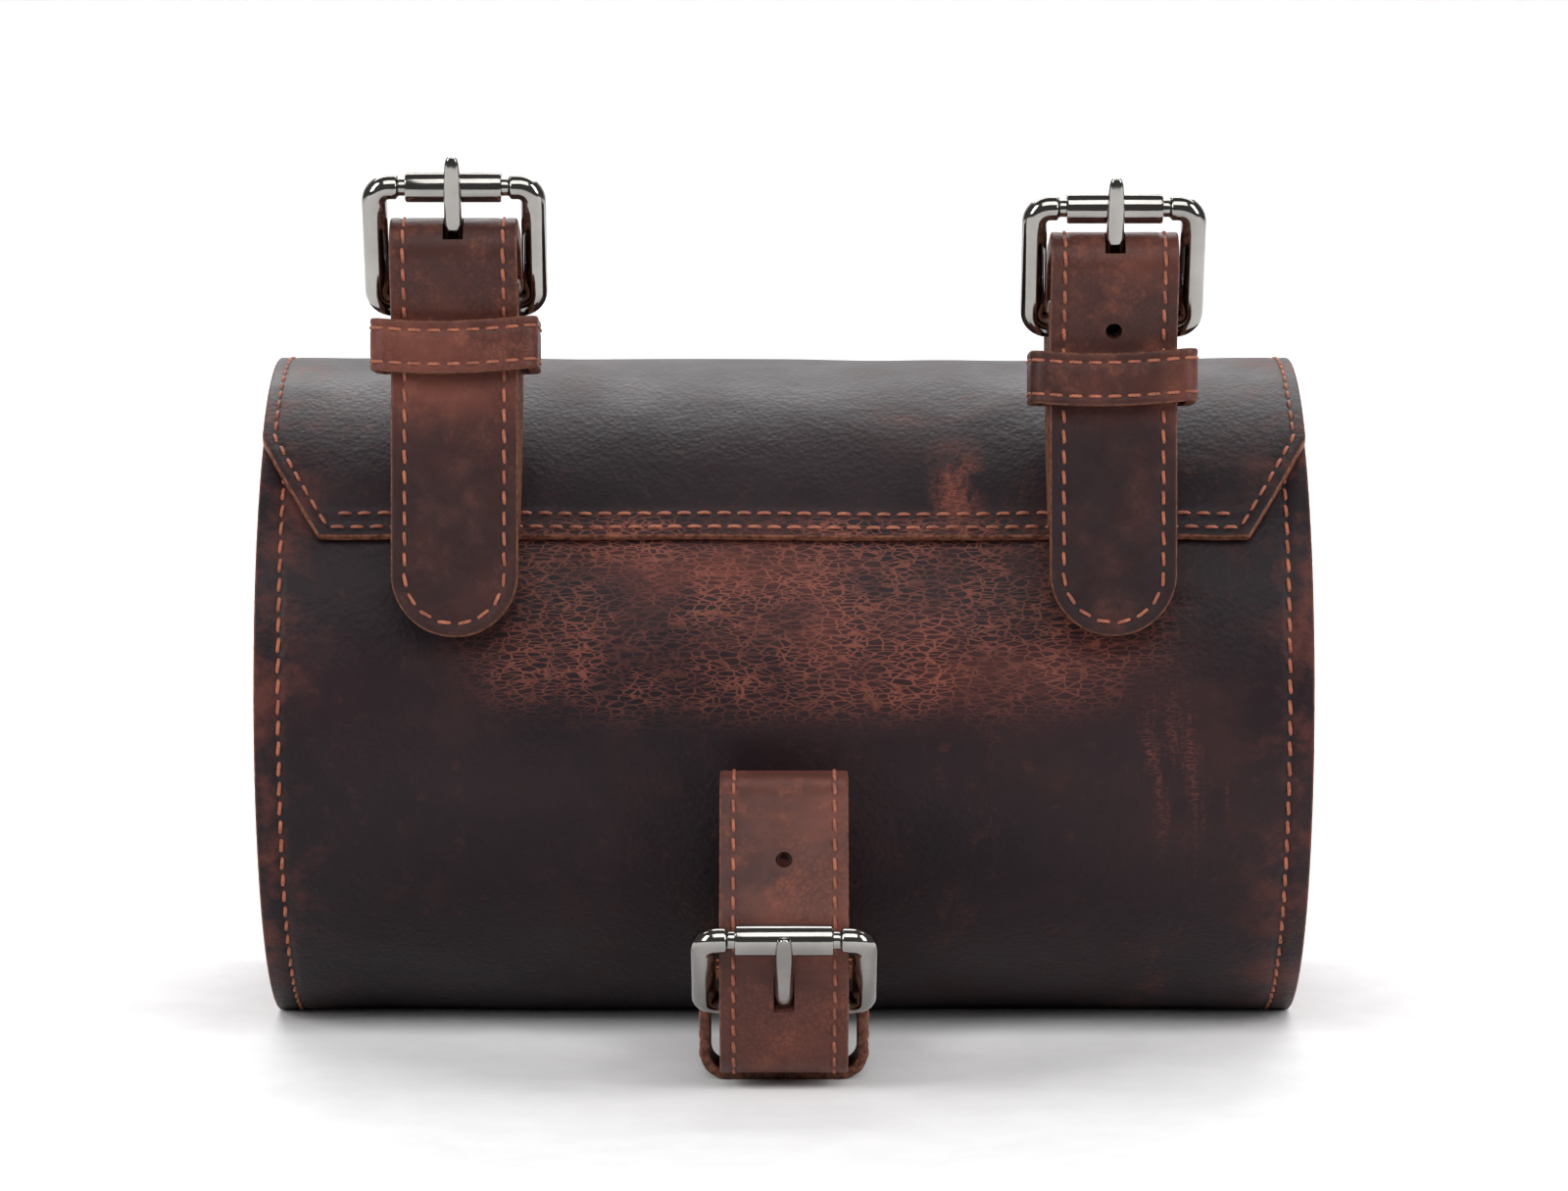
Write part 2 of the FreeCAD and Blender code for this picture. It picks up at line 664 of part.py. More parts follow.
def build_keeper(name, place, depth, shift):
    """A leather loop that slides along the strap. Its opening follows the local Z axis."""
    body = new_body(f"{name}_keeper")
    wall = dim("keeper_wall")
    section = new_sketch(body, "Section", "XY_Plane")
    add_loop(section, rounded_rectangle(dim("keeper_width"), dim(depth), 3.2, shift))
    inner_width = dim("keeper_width") - 2 * wall
    add_loop(section, rounded_rectangle(inner_width, dim(depth) - 2 * wall, 1.1, shift))
    pad(body, section, "dims.keeper_height", symmetric=False)
    body.Placement = place


# Saddle straps. Their routes use the distance forward of the heel bar and the distance up the lean.

def tilted(x, point, degrees):
    """Placement at a point (Y, Z) of the section, turned about X."""
    return Placement(Vector(x, point.x, point.y), Rotation(Vector(1, 0, 0), degrees))


SADDLE_STRAPS = (
    # name, side, heel bar (Y, Z above the axis), tip, top of the fold, keeper's foot, spare holes
    ("left", -1, Vector(-51.7, 85.6, 0), -66.2, 15.4, -13.7, ((4, 10),)),
    ("right", 1, Vector(-52.4, 81.5, 0), -61.8, 16.7, -15.9, ((0, 60.6), (4, 10))),
)
tongue_forward = 7.5
root_angle = 42.0
root_tail = 8.5


def build_saddle_strap(name, side, heel_offset, tip, fold_top, keeper_foot, holes):
    x = side * dim("saddle_strap_reach")
    lean = math.radians(dim("saddle_lean"))
    forward = Vector(-math.cos(lean), math.sin(lean), 0)
    up = Vector(math.sin(lean), math.cos(lean), 0)
    heel = centre + heel_offset
    tilt = dim("saddle_buckle_tilt")
    frame_slope = math.tan(lean + math.radians(tilt))
    buckle = tilted(0, heel, tilt)

    def at(distance_forward, distance_up):
        return heel + forward * distance_forward + up * distance_up
    bend_up = -3.0
    tongue = dim("tongue_layer")
    root = flap_outside + dim("sewn_gap") + tongue
    corners = [(at(tongue_forward, tip), 0), (at(tongue_forward, bend_up), 12),
               (at(tongue_forward + (fold_top - bend_up) * frame_slope, fold_top), 4.7),
               (at(-4, fold_top - 2.5), 10), (at(-20, 2), 12),
               (on_barrel(root, root_angle, 8), 20), (on_barrel(root, root_angle, -root_tail), 0)]
    full = f"saddle_strap_{name}"
    build_tongue(full, x, corners, buckle, (8.0, 2.4, 5.0, 36.0), holes)
    build_base_strap(full, x, heel, root + tongue + dim("sewn_gap"), root_angle, root_tail,
                     3.0, 6, buckle)
    place = tilted(x, heel, tilt)
    build_frame(full, place)
    build_roller(full, place)
    build_prong(full, place)
    keeper = tilted(x, at(0, keeper_foot), -dim("saddle_lean"))
    build_keeper(full, keeper, "keeper_depth", -2.65)


def build_post_strap():
    """The seat post strap: sewn low on the front, it folds over and comes back under the bag."""
    heel = Vector(-90.5, 17.2, 0)
    tilt = dim("post_buckle_tilt")
    angle = math.radians(tilt)
    roller = heel + Vector(-math.sin(angle), math.cos(angle), 0) * dim("buckle_reach")
    buckle = tilted(0, heel, tilt)
    tongue = dim("tongue_layer")
    root = radius + dim("sewn_gap") + tongue
    tail_height = 4.6
    at_roller = roller + Vector(3.8, -0.3, 0)
    approach = heel - at_roller
    clear = math.degrees(math.asin(7.3 / approach.Length))
    slope = math.radians(heading(approach) - clear)
    drop = tail_height - at_roller.y
    turn_under = Vector(at_roller.x + drop / math.tan(slope), tail_height, 0)
    root_at = -26.0
    corners = [(Vector(-54.0, tail_height, 0), 0), (turn_under, 7), (at_roller, 10),
               (Vector(-88.5, 59.2, 0), 5.5), (Vector(-77.0, 59.2, 0), 5),
               (on_barrel(root, root_at, 6), 10), (on_barrel(root, root_at, -8), 0)]
    build_tongue("post_strap", 0, corners, buckle, (6.8, 2.6, 0.5, 36.0), ((2, 15.0),))
    build_base_strap("post_strap", 0, heel, radius + dim("sewn_gap"), -52.0, 6.0, 5.0, 4, buckle)
    build_frame("post_strap", buckle)
    build_roller("post_strap", buckle)
    build_prong("post_strap", buckle)
    keeper_front = -83.5
    keeper = Placement(Vector(0, keeper_front, dim("sewn_gap") + dim("post_keeper_depth") / 2),
                       Rotation(Vector(1, 0, 0), -90))
    build_keeper("post_strap", keeper, "post_keeper_depth", 0)


barrel_body = build_barrel()
volume_before = recomputed_volume(barrel_body)
for snap in snap_places():
    drill(barrel_body, "RivetHole", snap, dim("rivet_hole"), -leather - 1, leather + 2)
check_cut(barrel_body, volume_before)
build_end_panel("end_panel_left", -1)
build_end_panel("end_panel_right", 1)
build_flap_band()
build_flap_cover()
build_snaps()
for strap in SADDLE_STRAPS:
    build_saddle_strap(*strap)
build_post_strap()
doc.recompute()

for item in doc.Objects:
    if "Invalid" in item.State or "Error" in item.State:
        raise RuntimeError(f"{item.Label} failed: {item.State}")
for item in subparts:
    if item.Shape.isNull() or not item.Shape.isValid():
        raise RuntimeError(f"{item.Label} has no valid shape")

os.makedirs("parts", exist_ok=True)
for item in subparts:
    item.Shape.exportStep(f"parts/{item.Label}.step")
    print(f"{item.Label}: {len(item.Shape.Solids)} solid(s), {item.Shape.Volume:.0f} mm3")
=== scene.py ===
from math import (asin, atan2, ceil, copysign, cos, degrees as in_degrees, exp, hypot, log, pi,
                  radians, sin, sqrt, tan)
import bmesh
import bpy
import numpy as np
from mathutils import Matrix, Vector, noise


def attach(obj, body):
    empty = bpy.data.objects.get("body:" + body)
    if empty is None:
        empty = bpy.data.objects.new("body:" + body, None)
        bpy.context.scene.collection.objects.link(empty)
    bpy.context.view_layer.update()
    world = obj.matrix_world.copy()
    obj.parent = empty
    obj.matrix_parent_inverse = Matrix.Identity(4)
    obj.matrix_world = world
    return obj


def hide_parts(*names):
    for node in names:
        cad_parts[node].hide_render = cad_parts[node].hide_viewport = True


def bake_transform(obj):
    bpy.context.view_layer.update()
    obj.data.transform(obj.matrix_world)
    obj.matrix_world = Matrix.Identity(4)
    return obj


# A leather saddle bag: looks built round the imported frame. Metres; X along the barrel, -Y front.

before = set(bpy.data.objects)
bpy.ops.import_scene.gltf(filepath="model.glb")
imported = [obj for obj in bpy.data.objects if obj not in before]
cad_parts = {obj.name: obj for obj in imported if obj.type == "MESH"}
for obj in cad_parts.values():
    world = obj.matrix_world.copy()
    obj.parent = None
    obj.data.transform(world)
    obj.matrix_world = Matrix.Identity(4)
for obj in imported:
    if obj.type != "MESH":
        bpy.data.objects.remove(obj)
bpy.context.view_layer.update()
MM = 0.001

# Sizes shared with the part, in millimetres.
RADIUS = 67.0
LEATHER = 2.2
HALF = 105.0
SIDES = (("left", -1), ("right", 1))
FLAT_HALF = 18.0
ZC = sqrt(RADIUS ** 2 - FLAT_HALF ** 2)
FLAP_IN = RADIUS + 0.15
FLAP_OUT = FLAP_IN + LEATHER
CROWN = 100.0
REAR_IN = 72.0
FLAP_FRONT, FLAP_FOLD, FLAP_REAR = 35.1, 72.0, 182.0
STRAP_X = 64.8
STRAP_W = 25.0
TONGUE = 1.8
BASE = 2.2
GAP = 0.05


def vec(y, z):
    return Vector((y, z))


def outward(degrees):
    a = radians(degrees)
    return vec(-cos(a), sin(a))


def upward(degrees):
    a = radians(degrees)
    return vec(sin(a), cos(a))


CENTRE = vec(0, ZC)


def on_barrel(distance, degrees, along=0.0):
    return CENTRE + outward(degrees) * distance + upward(degrees) * along


def leftward(v):
    return vec(-v.y, v.x)


def smoothstep(a, b, t):
    t = min(max((t - a) / (b - a), 0.0), 1.0)
    return t * t * (3 - 2 * t)


def stations(length, step, rounding):
    """Values from 0 to a length, close together near rounded ends."""
    near = [0.0, 0.12, 0.45, 1.0]
    low = [n * rounding for n in near]
    high = [length - n * rounding for n in near[::-1]]
    count = max(1, int(round((high[0] - low[-1]) / step)))
    middle = [low[-1] + (high[0] - low[-1]) * i / count for i in range(1, count)]
    return low + middle + high


# Routes in the section: straight runs rounded by tangent arcs.

class Route:
    def __init__(self, corners):
        self.parts = []
        position = corners[0][0].copy()
        for i in range(1, len(corners)):
            point, bend = corners[i]
            arriving = (point - corners[i - 1][0]).normalized()
            if i == len(corners) - 1:
                self.parts.append(("line", position, arriving, (point - position).length))
                break
            leaving = (corners[i + 1][0] - point).normalized()
            turn = atan2(arriving.x * leaving.y - arriving.y * leaving.x,
                              arriving.dot(leaving))
            tangent = bend * tan(abs(turn) / 2)
            enter = point - arriving * tangent
            self.parts.append(("line", position, arriving, (enter - position).dot(arriving)))
            self.parts.append(("arc", enter, arriving, bend * abs(turn), bend, turn))
            position = point + leaving * tangent
        self.length = sum(part[3] for part in self.parts)

    def at(self, s):
        """Point and direction at a distance along the route; it runs on straight past both ends."""
        for index, part in enumerate(self.parts):
            if s <= part[3] or index == len(self.parts) - 1:
                break
            s -= part[3]
        if part[0] == "line":
            return part[1] + part[2] * s, part[2]
        sign = 1 if part[5] > 0 else -1
        bend, angle = part[4], s / part[4] * sign
        cosine, sine = cos(angle), sin(angle)
        direction = vec(part[2].x * cosine - part[2].y * sine,
                        part[2].x * sine + part[2].y * cosine)
        middle = part[1] + leftward(part[2]) * (sign * bend)
        return middle - leftward(direction) * (sign * bend), direction


# Mesh building.

def rings(first, count, sides, closed=False):
    """Faces that join each of a run of vertex rings to the next, and the last to the first."""
    return [(first + i * sides + k, first + i * sides + (k + 1) % sides,
             first + (i + 1) % count * sides + (k + 1) % sides, first + (i + 1) % count * sides + k)
            for i in range(count if closed else count - 1) for k in range(sides)]


def around(sides, offset=0.0):
    """Cosine and sine of evenly spaced angles."""
    turns = [2 * pi * (k + offset) / sides for k in range(sides)]
    return [(cos(a), sin(a)) for a in turns]


def end_faces(first, count, sides):
    """The two faces that close a run of vertex rings."""
    return [tuple(range(first + sides - 1, first - 1, -1)),
            tuple(range(first + (count - 1) * sides, first + count * sides))]


def new_object(name, verts, faces, smooth=True):
    mesh = bpy.data.meshes.new(name)
    mesh.from_pydata([tuple(c * MM for c in v) for v in verts], [], faces)
    mesh.validate()
    mesh.update()
    obj = bpy.data.objects.new(name, mesh)
    bpy.context.scene.collection.objects.link(obj)
    if smooth:
        mesh.polygons.foreach_set("use_smooth", [True] * len(mesh.polygons))
    return obj


def set_attribute(obj, name, values):
    attribute = obj.data.attributes.new(name, "FLOAT", "POINT")
    attribute.data.foreach_set("value", np.array(values, np.float32))


def slab(name, us, vs, flat, bend, thickness, rounding, edge=None, groove=None):
    """Closed leather sheet. flat(u, v) gives the flat place, edge its distance from the outline and
    bend(U, V, w) the place in space for a height w above the back. groove sinks the front."""
    top, bottom = rounding
    length = us[-1]

    def outline_distance(u, v):
        if edge:
            return edge(u, v)
        return min(u, length - u), min(v - vs[0], vs[-1] - v)

    verts, edge_values, faces = [], [], []
    nu, nv = len(us), len(vs)
    for side in (1, 0):
        r = top if side else bottom
        for u in us:
            for v in vs:
                distance = outline_distance(u, v)
                parts = distance if isinstance(distance, tuple) else (distance,)
                drop = sqrt(sum(max(r - d, 0.0) ** 2 for d in parts))
                low = r - sqrt(max(r * r - drop * drop, 0.0))
                place = flat(u, v)
                w = thickness - low if side else low
                if side and groove:
                    w -= groove(place[0], place[1], min(parts))
                verts.append(bend(place[0], place[1], w))
                edge_values.append(1.0 - smoothstep(0.0, 1.1 * r + 0.05, min(parts)))
    base = nu * nv

    def index(side, i, j):
        return (0 if side else base) + i * nv + j
    for i in range(nu - 1):
        for j in range(nv - 1):
            faces.append((index(1, i, j), index(1, i + 1, j), index(1, i + 1, j + 1),
                          index(1, i, j + 1)))
            faces.append((index(0, i, j), index(0, i, j + 1), index(0, i + 1, j + 1),
                          index(0, i + 1, j)))
    ring = ([(0, j) for j in range(nv)] + [(i, nv - 1) for i in range(1, nu)]
            + [(nu - 1, j) for j in range(nv - 2, -1, -1)] + [(i, 0) for i in range(nu - 2, 0, -1)])
    for (i, j), (k, m) in zip(ring, ring[1:] + ring[:1]):
        faces.append((index(1, i, j), index(1, k, m), index(0, k, m), index(0, i, j)))
    obj = new_object(name, verts, faces)
    set_attribute(obj, "raw", edge_values)
    recalculate(obj)
    return obj


def recalculate(obj):
    mesh = bmesh.new()
    mesh.from_mesh(obj.data)
    bmesh.ops.remove_doubles(mesh, verts=mesh.verts, dist=1e-7)
    bmesh.ops.recalc_face_normals(mesh, faces=mesh.faces)
    mesh.to_mesh(obj.data)
    mesh.free()
    obj.data.polygons.foreach_set("use_smooth", [True] * len(obj.data.polygons))


def sharpen(obj, degrees):
    obj.data.set_sharp_from_angle(angle=radians(degrees))


def loop_of_wire(name, centres, radii, across, sides):
    """Round wire through points and back to the first; across is one axis of its section."""
    verts = []
    for i, c in enumerate(centres):
        tangent = (centres[(i + 1) % len(centres)] - centres[i - 1]).normalized()
        normal = (across - tangent * across.dot(tangent)).normalized()
        binormal = tangent.cross(normal)
        verts += [c + (normal * a + binormal * b) * radii[i] for a, b in around(sides)]
    return new_object(name, verts, rings(0, len(centres), sides, closed=True))


def lathe(name, outline, place, sides=40):
    """Turned piece: outline is (radius, height) points, place(x, y, z) puts it in the section."""
    verts = [place(r * a, r * b, z) for r, z in outline for a, b in around(sides)]
    obj = new_object(name, verts, rings(0, len(outline), sides)
                     + end_faces(0, len(outline), sides))
    recalculate(obj)
    return obj


def join(name, objects):
    """One object from several, keeping their attributes."""
    first = objects[0]
    with bpy.context.temp_override(active_object=first, selected_editable_objects=objects,
                                   selected_objects=objects):
        bpy.ops.object.join()
    first.name = name
    first.data.name = name
    return first


def cut(obj, cutters):
    """Cut solid shapes out of a piece and keep the result."""
    for cutter in cutters:
        modifier = obj.modifiers.new("cut", "BOOLEAN")
        modifier.operation = "DIFFERENCE"
        modifier.solver = "EXACT"
        modifier.object = cutter
        bpy.context.view_layer.update()
        evaluated = obj.evaluated_get(bpy.context.evaluated_depsgraph_get())
        mesh = bpy.data.meshes.new_from_object(evaluated)
        obj.modifiers.clear()
        obj.data = mesh
        bpy.data.objects.remove(cutter)
    return obj


# Stitches: short threads that dip into their holes at both ends.

BULGE = 0.35


def stitch_row(samples, pitch, length, radius, slant=0.0):
    """Places for stitches along a sampled line of (point, normal) pairs."""
    points = [Vector(p) for p, _ in samples]
    normals = [Vector(n).normalized() for _, n in samples]
    marks = [0.0]
    for a, b in zip(points, points[1:]):
        marks.append(marks[-1] + (b - a).length)
    total = marks[-1]
    count = max(1, int(total / pitch))
    step = total / count
    rows = []
    position = 0
    for index in range(count):
        s = (index + 0.5) * step
        while position < len(marks) - 2 and marks[position + 1] < s:
            position += 1
        t = (s - marks[position]) / max(marks[position + 1] - marks[position], 1e-9)
        point = points[position].lerp(points[position + 1], t)
        normal = normals[position].lerp(normals[position + 1], t).normalized()
        along = (points[position + 1] - points[position]).normalized()
        rows.append((point, along, normal, length, radius, slant))
    return rows


def stitches(name, rows, seed=3):
    verts, faces, sides, ring_count = [], [], 7, 6
    for number, (point, along, normal, length, radius, slant) in enumerate(rows):
        jitter = noise.noise(Vector((number * 1.37, seed * 7.1, 0.3)))
        along = (along - normal * along.dot(normal)).normalized()
        across = normal.cross(along)
        lean = slant + 0.05 * jitter
        along = (along + across * lean).normalized()
        across = normal.cross(along)
        base = len(verts)
        for i in range(ring_count):
            t = -1 + 2 * i / (ring_count - 1)
            height = (BULGE * radius * 2 * (1 - t * t) - radius * 0.9 * t * t * t * t
                      - radius * 0.15)
            fat = radius * (1.0 - 0.28 * t * t * t * t) * (1 + 0.06 * jitter)
            middle = point + along * (t * length / 2) + normal * height
            verts += [middle + across * (a * fat * 1.12) + normal * (b * fat * 0.85)
                      for a, b in around(sides)]
        faces += rings(base, ring_count, sides) + end_faces(base, ring_count, sides)
    return new_object(name, verts, faces)


def in_space(x, point):
    return Vector((x, point.x, point.y))


# Barrel and flap.

def softness(x, degrees):
    """How far the leather sinks in between its seams and straps, in millimetres."""
    a = radians(degrees)
    n = noise.noise(Vector((x * 0.021, cos(a) * 1.7, sin(a) * 1.7 + 3.0)))
    n += 0.45 * noise.noise(Vector((x * 0.06, cos(a) * 4.6, sin(a) * 4.6)))
    ends = smoothstep(HALF - 7.0, HALF - 26.0, abs(x))
    straps = smoothstep(13.0, 24.0, abs(abs(x) - STRAP_X))
    if not 26.0 < degrees < 80.0:
        straps = 1.0
    post = 1.0
    if degrees < -12.0 or degrees > 235.0:
        post = smoothstep(14.0, 26.0, abs(x))
    return max(0.0, 0.42 + 0.75 * n) * ends * straps * post


RAW = (0.55, 0.55)
flat_angle = in_degrees(asin(ZC / RADIUS))
MOUTH_FRONT, MOUTH_REAR = 70.0, 128.0
front_arc = radians(MOUTH_FRONT + flat_angle) * RADIUS
rear_arc = radians(180.0 + flat_angle - MOUTH_REAR) * RADIUS


def barrel_place(u):
    """Outer point, outward normal and section angle at a distance from the mouth's front edge."""
    if u < front_arc:
        degrees = MOUTH_FRONT - in_degrees(u / RADIUS)
        return on_barrel(RADIUS, degrees), outward(degrees), degrees
    u -= front_arc
    if u < 2 * FLAT_HALF:
        return vec(u - FLAT_HALF, 0.0), vec(0, -1), 270.0
    u -= 2 * FLAT_HALF
    degrees = 180.0 + flat_angle - in_degrees(u / RADIUS)
    return on_barrel(RADIUS, degrees), outward(degrees), degrees


END_ROW = 4.9


def bend_barrel(u, x, w):
    point, normal, degrees = barrel_place(u)
    sink = softness(x, degrees) if degrees != 270.0 else 0.0
    return in_space(x, point + normal * (w - LEATHER - sink))


def barrel_groove(u, x, distance):
    seam = abs(HALF - abs(x) - END_ROW)
    return 0.4 * exp(-(seam / 0.9) ** 2) - 0.12 * exp(-((seam - 2.4) / 1.3) ** 2)


def across_stations(marks, step=2.6):
    """Stations across the whole width, with extra ones close to marked distances from the ends."""
    near = sorted(set([0.0, 0.07, 0.25, 0.55] + [m + d for m in marks
                                                 for d in (-1.0, -0.5, 0.0, 0.5, 1.0)]))
    start = near[-1] + 1.0
    count = int((2 * HALF - 2 * start) / step)
    middle = [start + (2 * HALF - 2 * start) * i / count for i in range(count + 1)]
    return [v - HALF for v in near + middle + [2 * HALF - n for n in near[::-1]]]


barrel_length = front_arc + 2 * FLAT_HALF + rear_arc
body = slab("barrel_leather", stations(barrel_length, 2.2, 0.55), across_stations([END_ROW]),
            lambda u, v: (u, v), bend_barrel, LEATHER, RAW, groove=barrel_groove)
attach(body, "bag")
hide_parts("body_shell")

rows = []
for side in (-1, 1):
    x = side * (HALF - END_ROW)
    line = [(bend_barrel(u, x, LEATHER - 0.32), in_space(0, barrel_place(u)[1]))
            for u in (2.5 + (barrel_length - 5.0) * i / 400 for i in range(401))]
    rows += stitch_row(line, 4.1, 3.3, 0.36, slant=0.1 * side)
barrel_thread = stitches("barrel_thread", rows)
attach(barrel_thread, "bag")


# End panels: dished leather with a turned rim, sewn inside the barrel.

SOFT_CORNER = 1.2
PANEL_DEPTH, RIM_BEND, BACK_BEND = 9.0, 3.8, 6.0


def panel_outline(inset, angle):
    """Point of the barrel's inside outline, moved inwards, at a polar angle from the bottom."""
    circle = RADIUS - inset
    down = cos(angle)
    reach = circle
    if down > 0:
        # soft minimum of the circle and the flat strip
        flat = (ZC - inset) / down
        reach -= SOFT_CORNER * log(1 + exp((circle - flat) / SOFT_CORNER))
    return vec(sin(angle), -down) * reach + CENTRE


def end_panel(name, side):
    inset = LEATHER + GAP
    inner = inset + LEATHER

    def quarter(start, bend, bottom):
        return [(start + bend - bend * cos(radians(a)),
                 bottom - bend + bend * sin(radians(a))) for a in range(0, 91, 15)]
    face = [(inner + 0.45, 0.25), (inner + 0.12, 0.45), (inner, 0.95), (inner, 3.0)]
    face += quarter(inner, RIM_BEND, PANEL_DEPTH)
    back = quarter(inset, BACK_BEND, PANEL_DEPTH + LEATHER)
    rim = [(inset + 0.02, 3.0), (inset + 0.02, 0.95), (inset + 0.14, 0.45), (inset + 0.5, 0.25)]
    shares = [0.9, 0.78, 0.64, 0.5, 0.36, 0.22, 0.1]
    count = 180

    def raised(edge, share):
        """Ring of the dish's middle, at a share of the way out."""
        return edge[0], edge[1] - 1.1 * (1 - share * share), share
    front = [(i, d, 1.0) for i, d in face] + [raised(face[-1], s) for s in shares]
    rear = [raised(back[-1], s) for s in shares[::-1]] + [(i, d, 1.0) for i, d in back[::-1] + rim]
    verts, raws = [], []
    for from_edge, depth, share in front + rear:
        for k in range(count):
            point = panel_outline(from_edge, 2 * pi * k / count)
            point = CENTRE + (point - CENTRE) * share
            verts.append((side * (HALF - depth), point.x, point.y))
            raws.append(1.0 if depth < 0.6 and share == 1.0 else 0.0)
    faces = rings(0, len(front) + len(rear), count, closed=True)
    del faces[(len(front) - 1) * count:len(front) * count]
    for r, depth in ((len(front) - 1, front[-1][1]), (len(front), rear[0][1])):
        pole = len(verts)
        verts.append((side * (HALF - depth), 0, ZC))
        raws.append(0.0)
        faces += [(r * count + k, r * count + (k + 1) % count, pole) for k in range(count)]
    for i, (x, y, z) in enumerate(verts):
        depth = HALF - abs(x)
        radial = hypot(y, z - ZC)
        wave = noise.noise(Vector((side * 3.0, y * 0.035, z * 0.035)))
        inside = smoothstep(4.0, 9.0, depth)
        pucker = sin(atan2(y, z - ZC) * 37 + 3 * wave) * smoothstep(40, 60, radial)
        x += side * (0.55 * wave + 0.16 * pucker) * inside
        verts[i] = (x, y, z)
    obj = new_object(name, verts, faces)
    set_attribute(obj, "raw", raws)
    recalculate(obj)
    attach(obj, "bag")
    return obj


end_panels = []
for name, side in SIDES:
    panel = end_panel(f"end_leather_{name}", side)
    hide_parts(f"end_panel_{name}")
    end_panels.append(panel)

# The raw double edge at each end: fibres that stand a little proud of both leathers.
edge_rings = []
for name, side in SIDES:
    verts, faces, count = [], [], 720
    for k in range(count):
        angle = 2 * pi * k / count
        for inset, rise in ((0.55, -0.15), (0.9, 0.22), (1.9, 0.3), (2.22, -0.1), (2.6, 0.3),
                            (3.5, 0.25), (3.9, -0.15)):
            fuzz = noise.noise(Vector((k * 0.31, inset * 2.0, side * 5.0)))
            point = panel_outline(inset + 0.12 * fuzz, angle)
            verts.append((side * (HALF + rise * 0.5 - 0.1 + 0.12 * fuzz), point.x, point.y))
    for k in range(count):
        for j in range(6):
            a, b = k * 7 + j, ((k + 1) % count) * 7 + j
            faces.append((a, b, b + 1, a + 1))
    ring = new_object(f"end_edge_{name}", verts, faces)
    solid = ring.modifiers.new("thick", "SOLIDIFY")
    solid.thickness = 0.0005
    solid.offset = -1 if side > 0 else 1
    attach(ring, "bag")
    edge_rings.append(ring)


# Flap: one sheet from its front edge over the top and down the back.

REAR_CENTRE = CENTRE - outward(CROWN) * (REAR_IN - FLAP_IN)
front_span = radians(CROWN - FLAP_FRONT) * FLAP_IN
rear_span = radians(FLAP_REAR - CROWN) * REAR_IN
flap_length = front_span + rear_span
CORNER_W, CORNER_H = 12.5, 17.6


def flap_place(u):
    if u < front_span:
        degrees = FLAP_FRONT + in_degrees(u / FLAP_IN)
        return on_barrel(FLAP_IN, degrees), outward(degrees), degrees
    degrees = CROWN + in_degrees((u - front_span) / REAR_IN)
    return REAR_CENTRE + outward(degrees) * REAR_IN, outward(degrees), degrees


flap_front_height = ZC + FLAP_OUT * sin(radians(FLAP_FRONT))
rear_end = REAR_CENTRE + outward(FLAP_REAR) * (REAR_IN + LEATHER)


def flap_half(u):
    point, normal, _ = flap_place(u)
    outer = point + normal * LEATHER
    foot = flap_front_height if u < front_span else rear_end.y
    return HALF - CORNER_W * max(0.0, 1 - (outer.y - foot) / CORNER_H)


def flap_lean(u):
    """Length of the clipped edge for each millimetre along the flap."""
    slope = (flap_half(min(u + 0.5, flap_length)) - flap_half(max(u - 0.5, 0.0)))
    return sqrt(1 + slope * slope)


def bend_flap(u, x, w):
    point, normal, degrees = flap_place(u)
    sink = softness(x, degrees) * smoothstep(CROWN + 12, CROWN - 10, degrees)
    sink -= 0.5 * smoothstep(120, 150, degrees) * noise.noise(Vector((x * 0.02, u * 0.02, 9.0)))
    lift = 0.32 * smoothstep(9.0, 0.0, u) * (0.5 + noise.noise(Vector((x * 0.045, 4.0, 1.0))))
    return in_space(x, point + normal * (w - sink + lift))


ROW_ONE, ROW_TWO, ROW_SIDE = 2.1, 5.2, 2.6


def flap_groove(u, x, distance):
    depth = 0.0
    for row in (ROW_ONE, ROW_TWO):
        if abs(x) < flap_half(u) - 3:
            depth += 0.28 * exp(-((u - row) / 0.75) ** 2)
    side = (flap_half(u) - abs(x)) / flap_lean(u)
    return depth + 0.28 * exp(-((side - ROW_SIDE) / 0.75) ** 2) * (u > 3)


def flap_flat(u, v):
    reach = flap_half(u)
    inner = HALF - 12.0
    if abs(v) < inner:
        return u, v * (reach - 12.0) / inner
    return u, copysign(reach - (HALF - abs(v)), v)


def flap_edge(u, v):
    return (min(u, flap_length - u), (HALF - abs(v)) / flap_lean(u))


flap_us = sorted(set([0.0, 0.07, 0.25, 0.55, 1.1, 1.6, 2.1, 2.6, 3.2, 4.0, 4.7, 5.2, 5.7, 6.3]
                     + [7.0 + (flap_length - 8.0) * i / 100 for i in range(101)]
                     + [flap_length - n for n in (0.55, 0.25, 0.07, 0.0)]))
flap = slab("flap_leather", flap_us, across_stations([ROW_SIDE]), flap_flat, bend_flap,
            LEATHER, RAW, edge=flap_edge, groove=flap_groove)
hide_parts("flap_front_band", "flap_cover")


def flap_row(line):
    return [(bend_flap(u, x, LEATHER - 0.22), in_space(0, flap_place(u)[1])) for u, x in line]


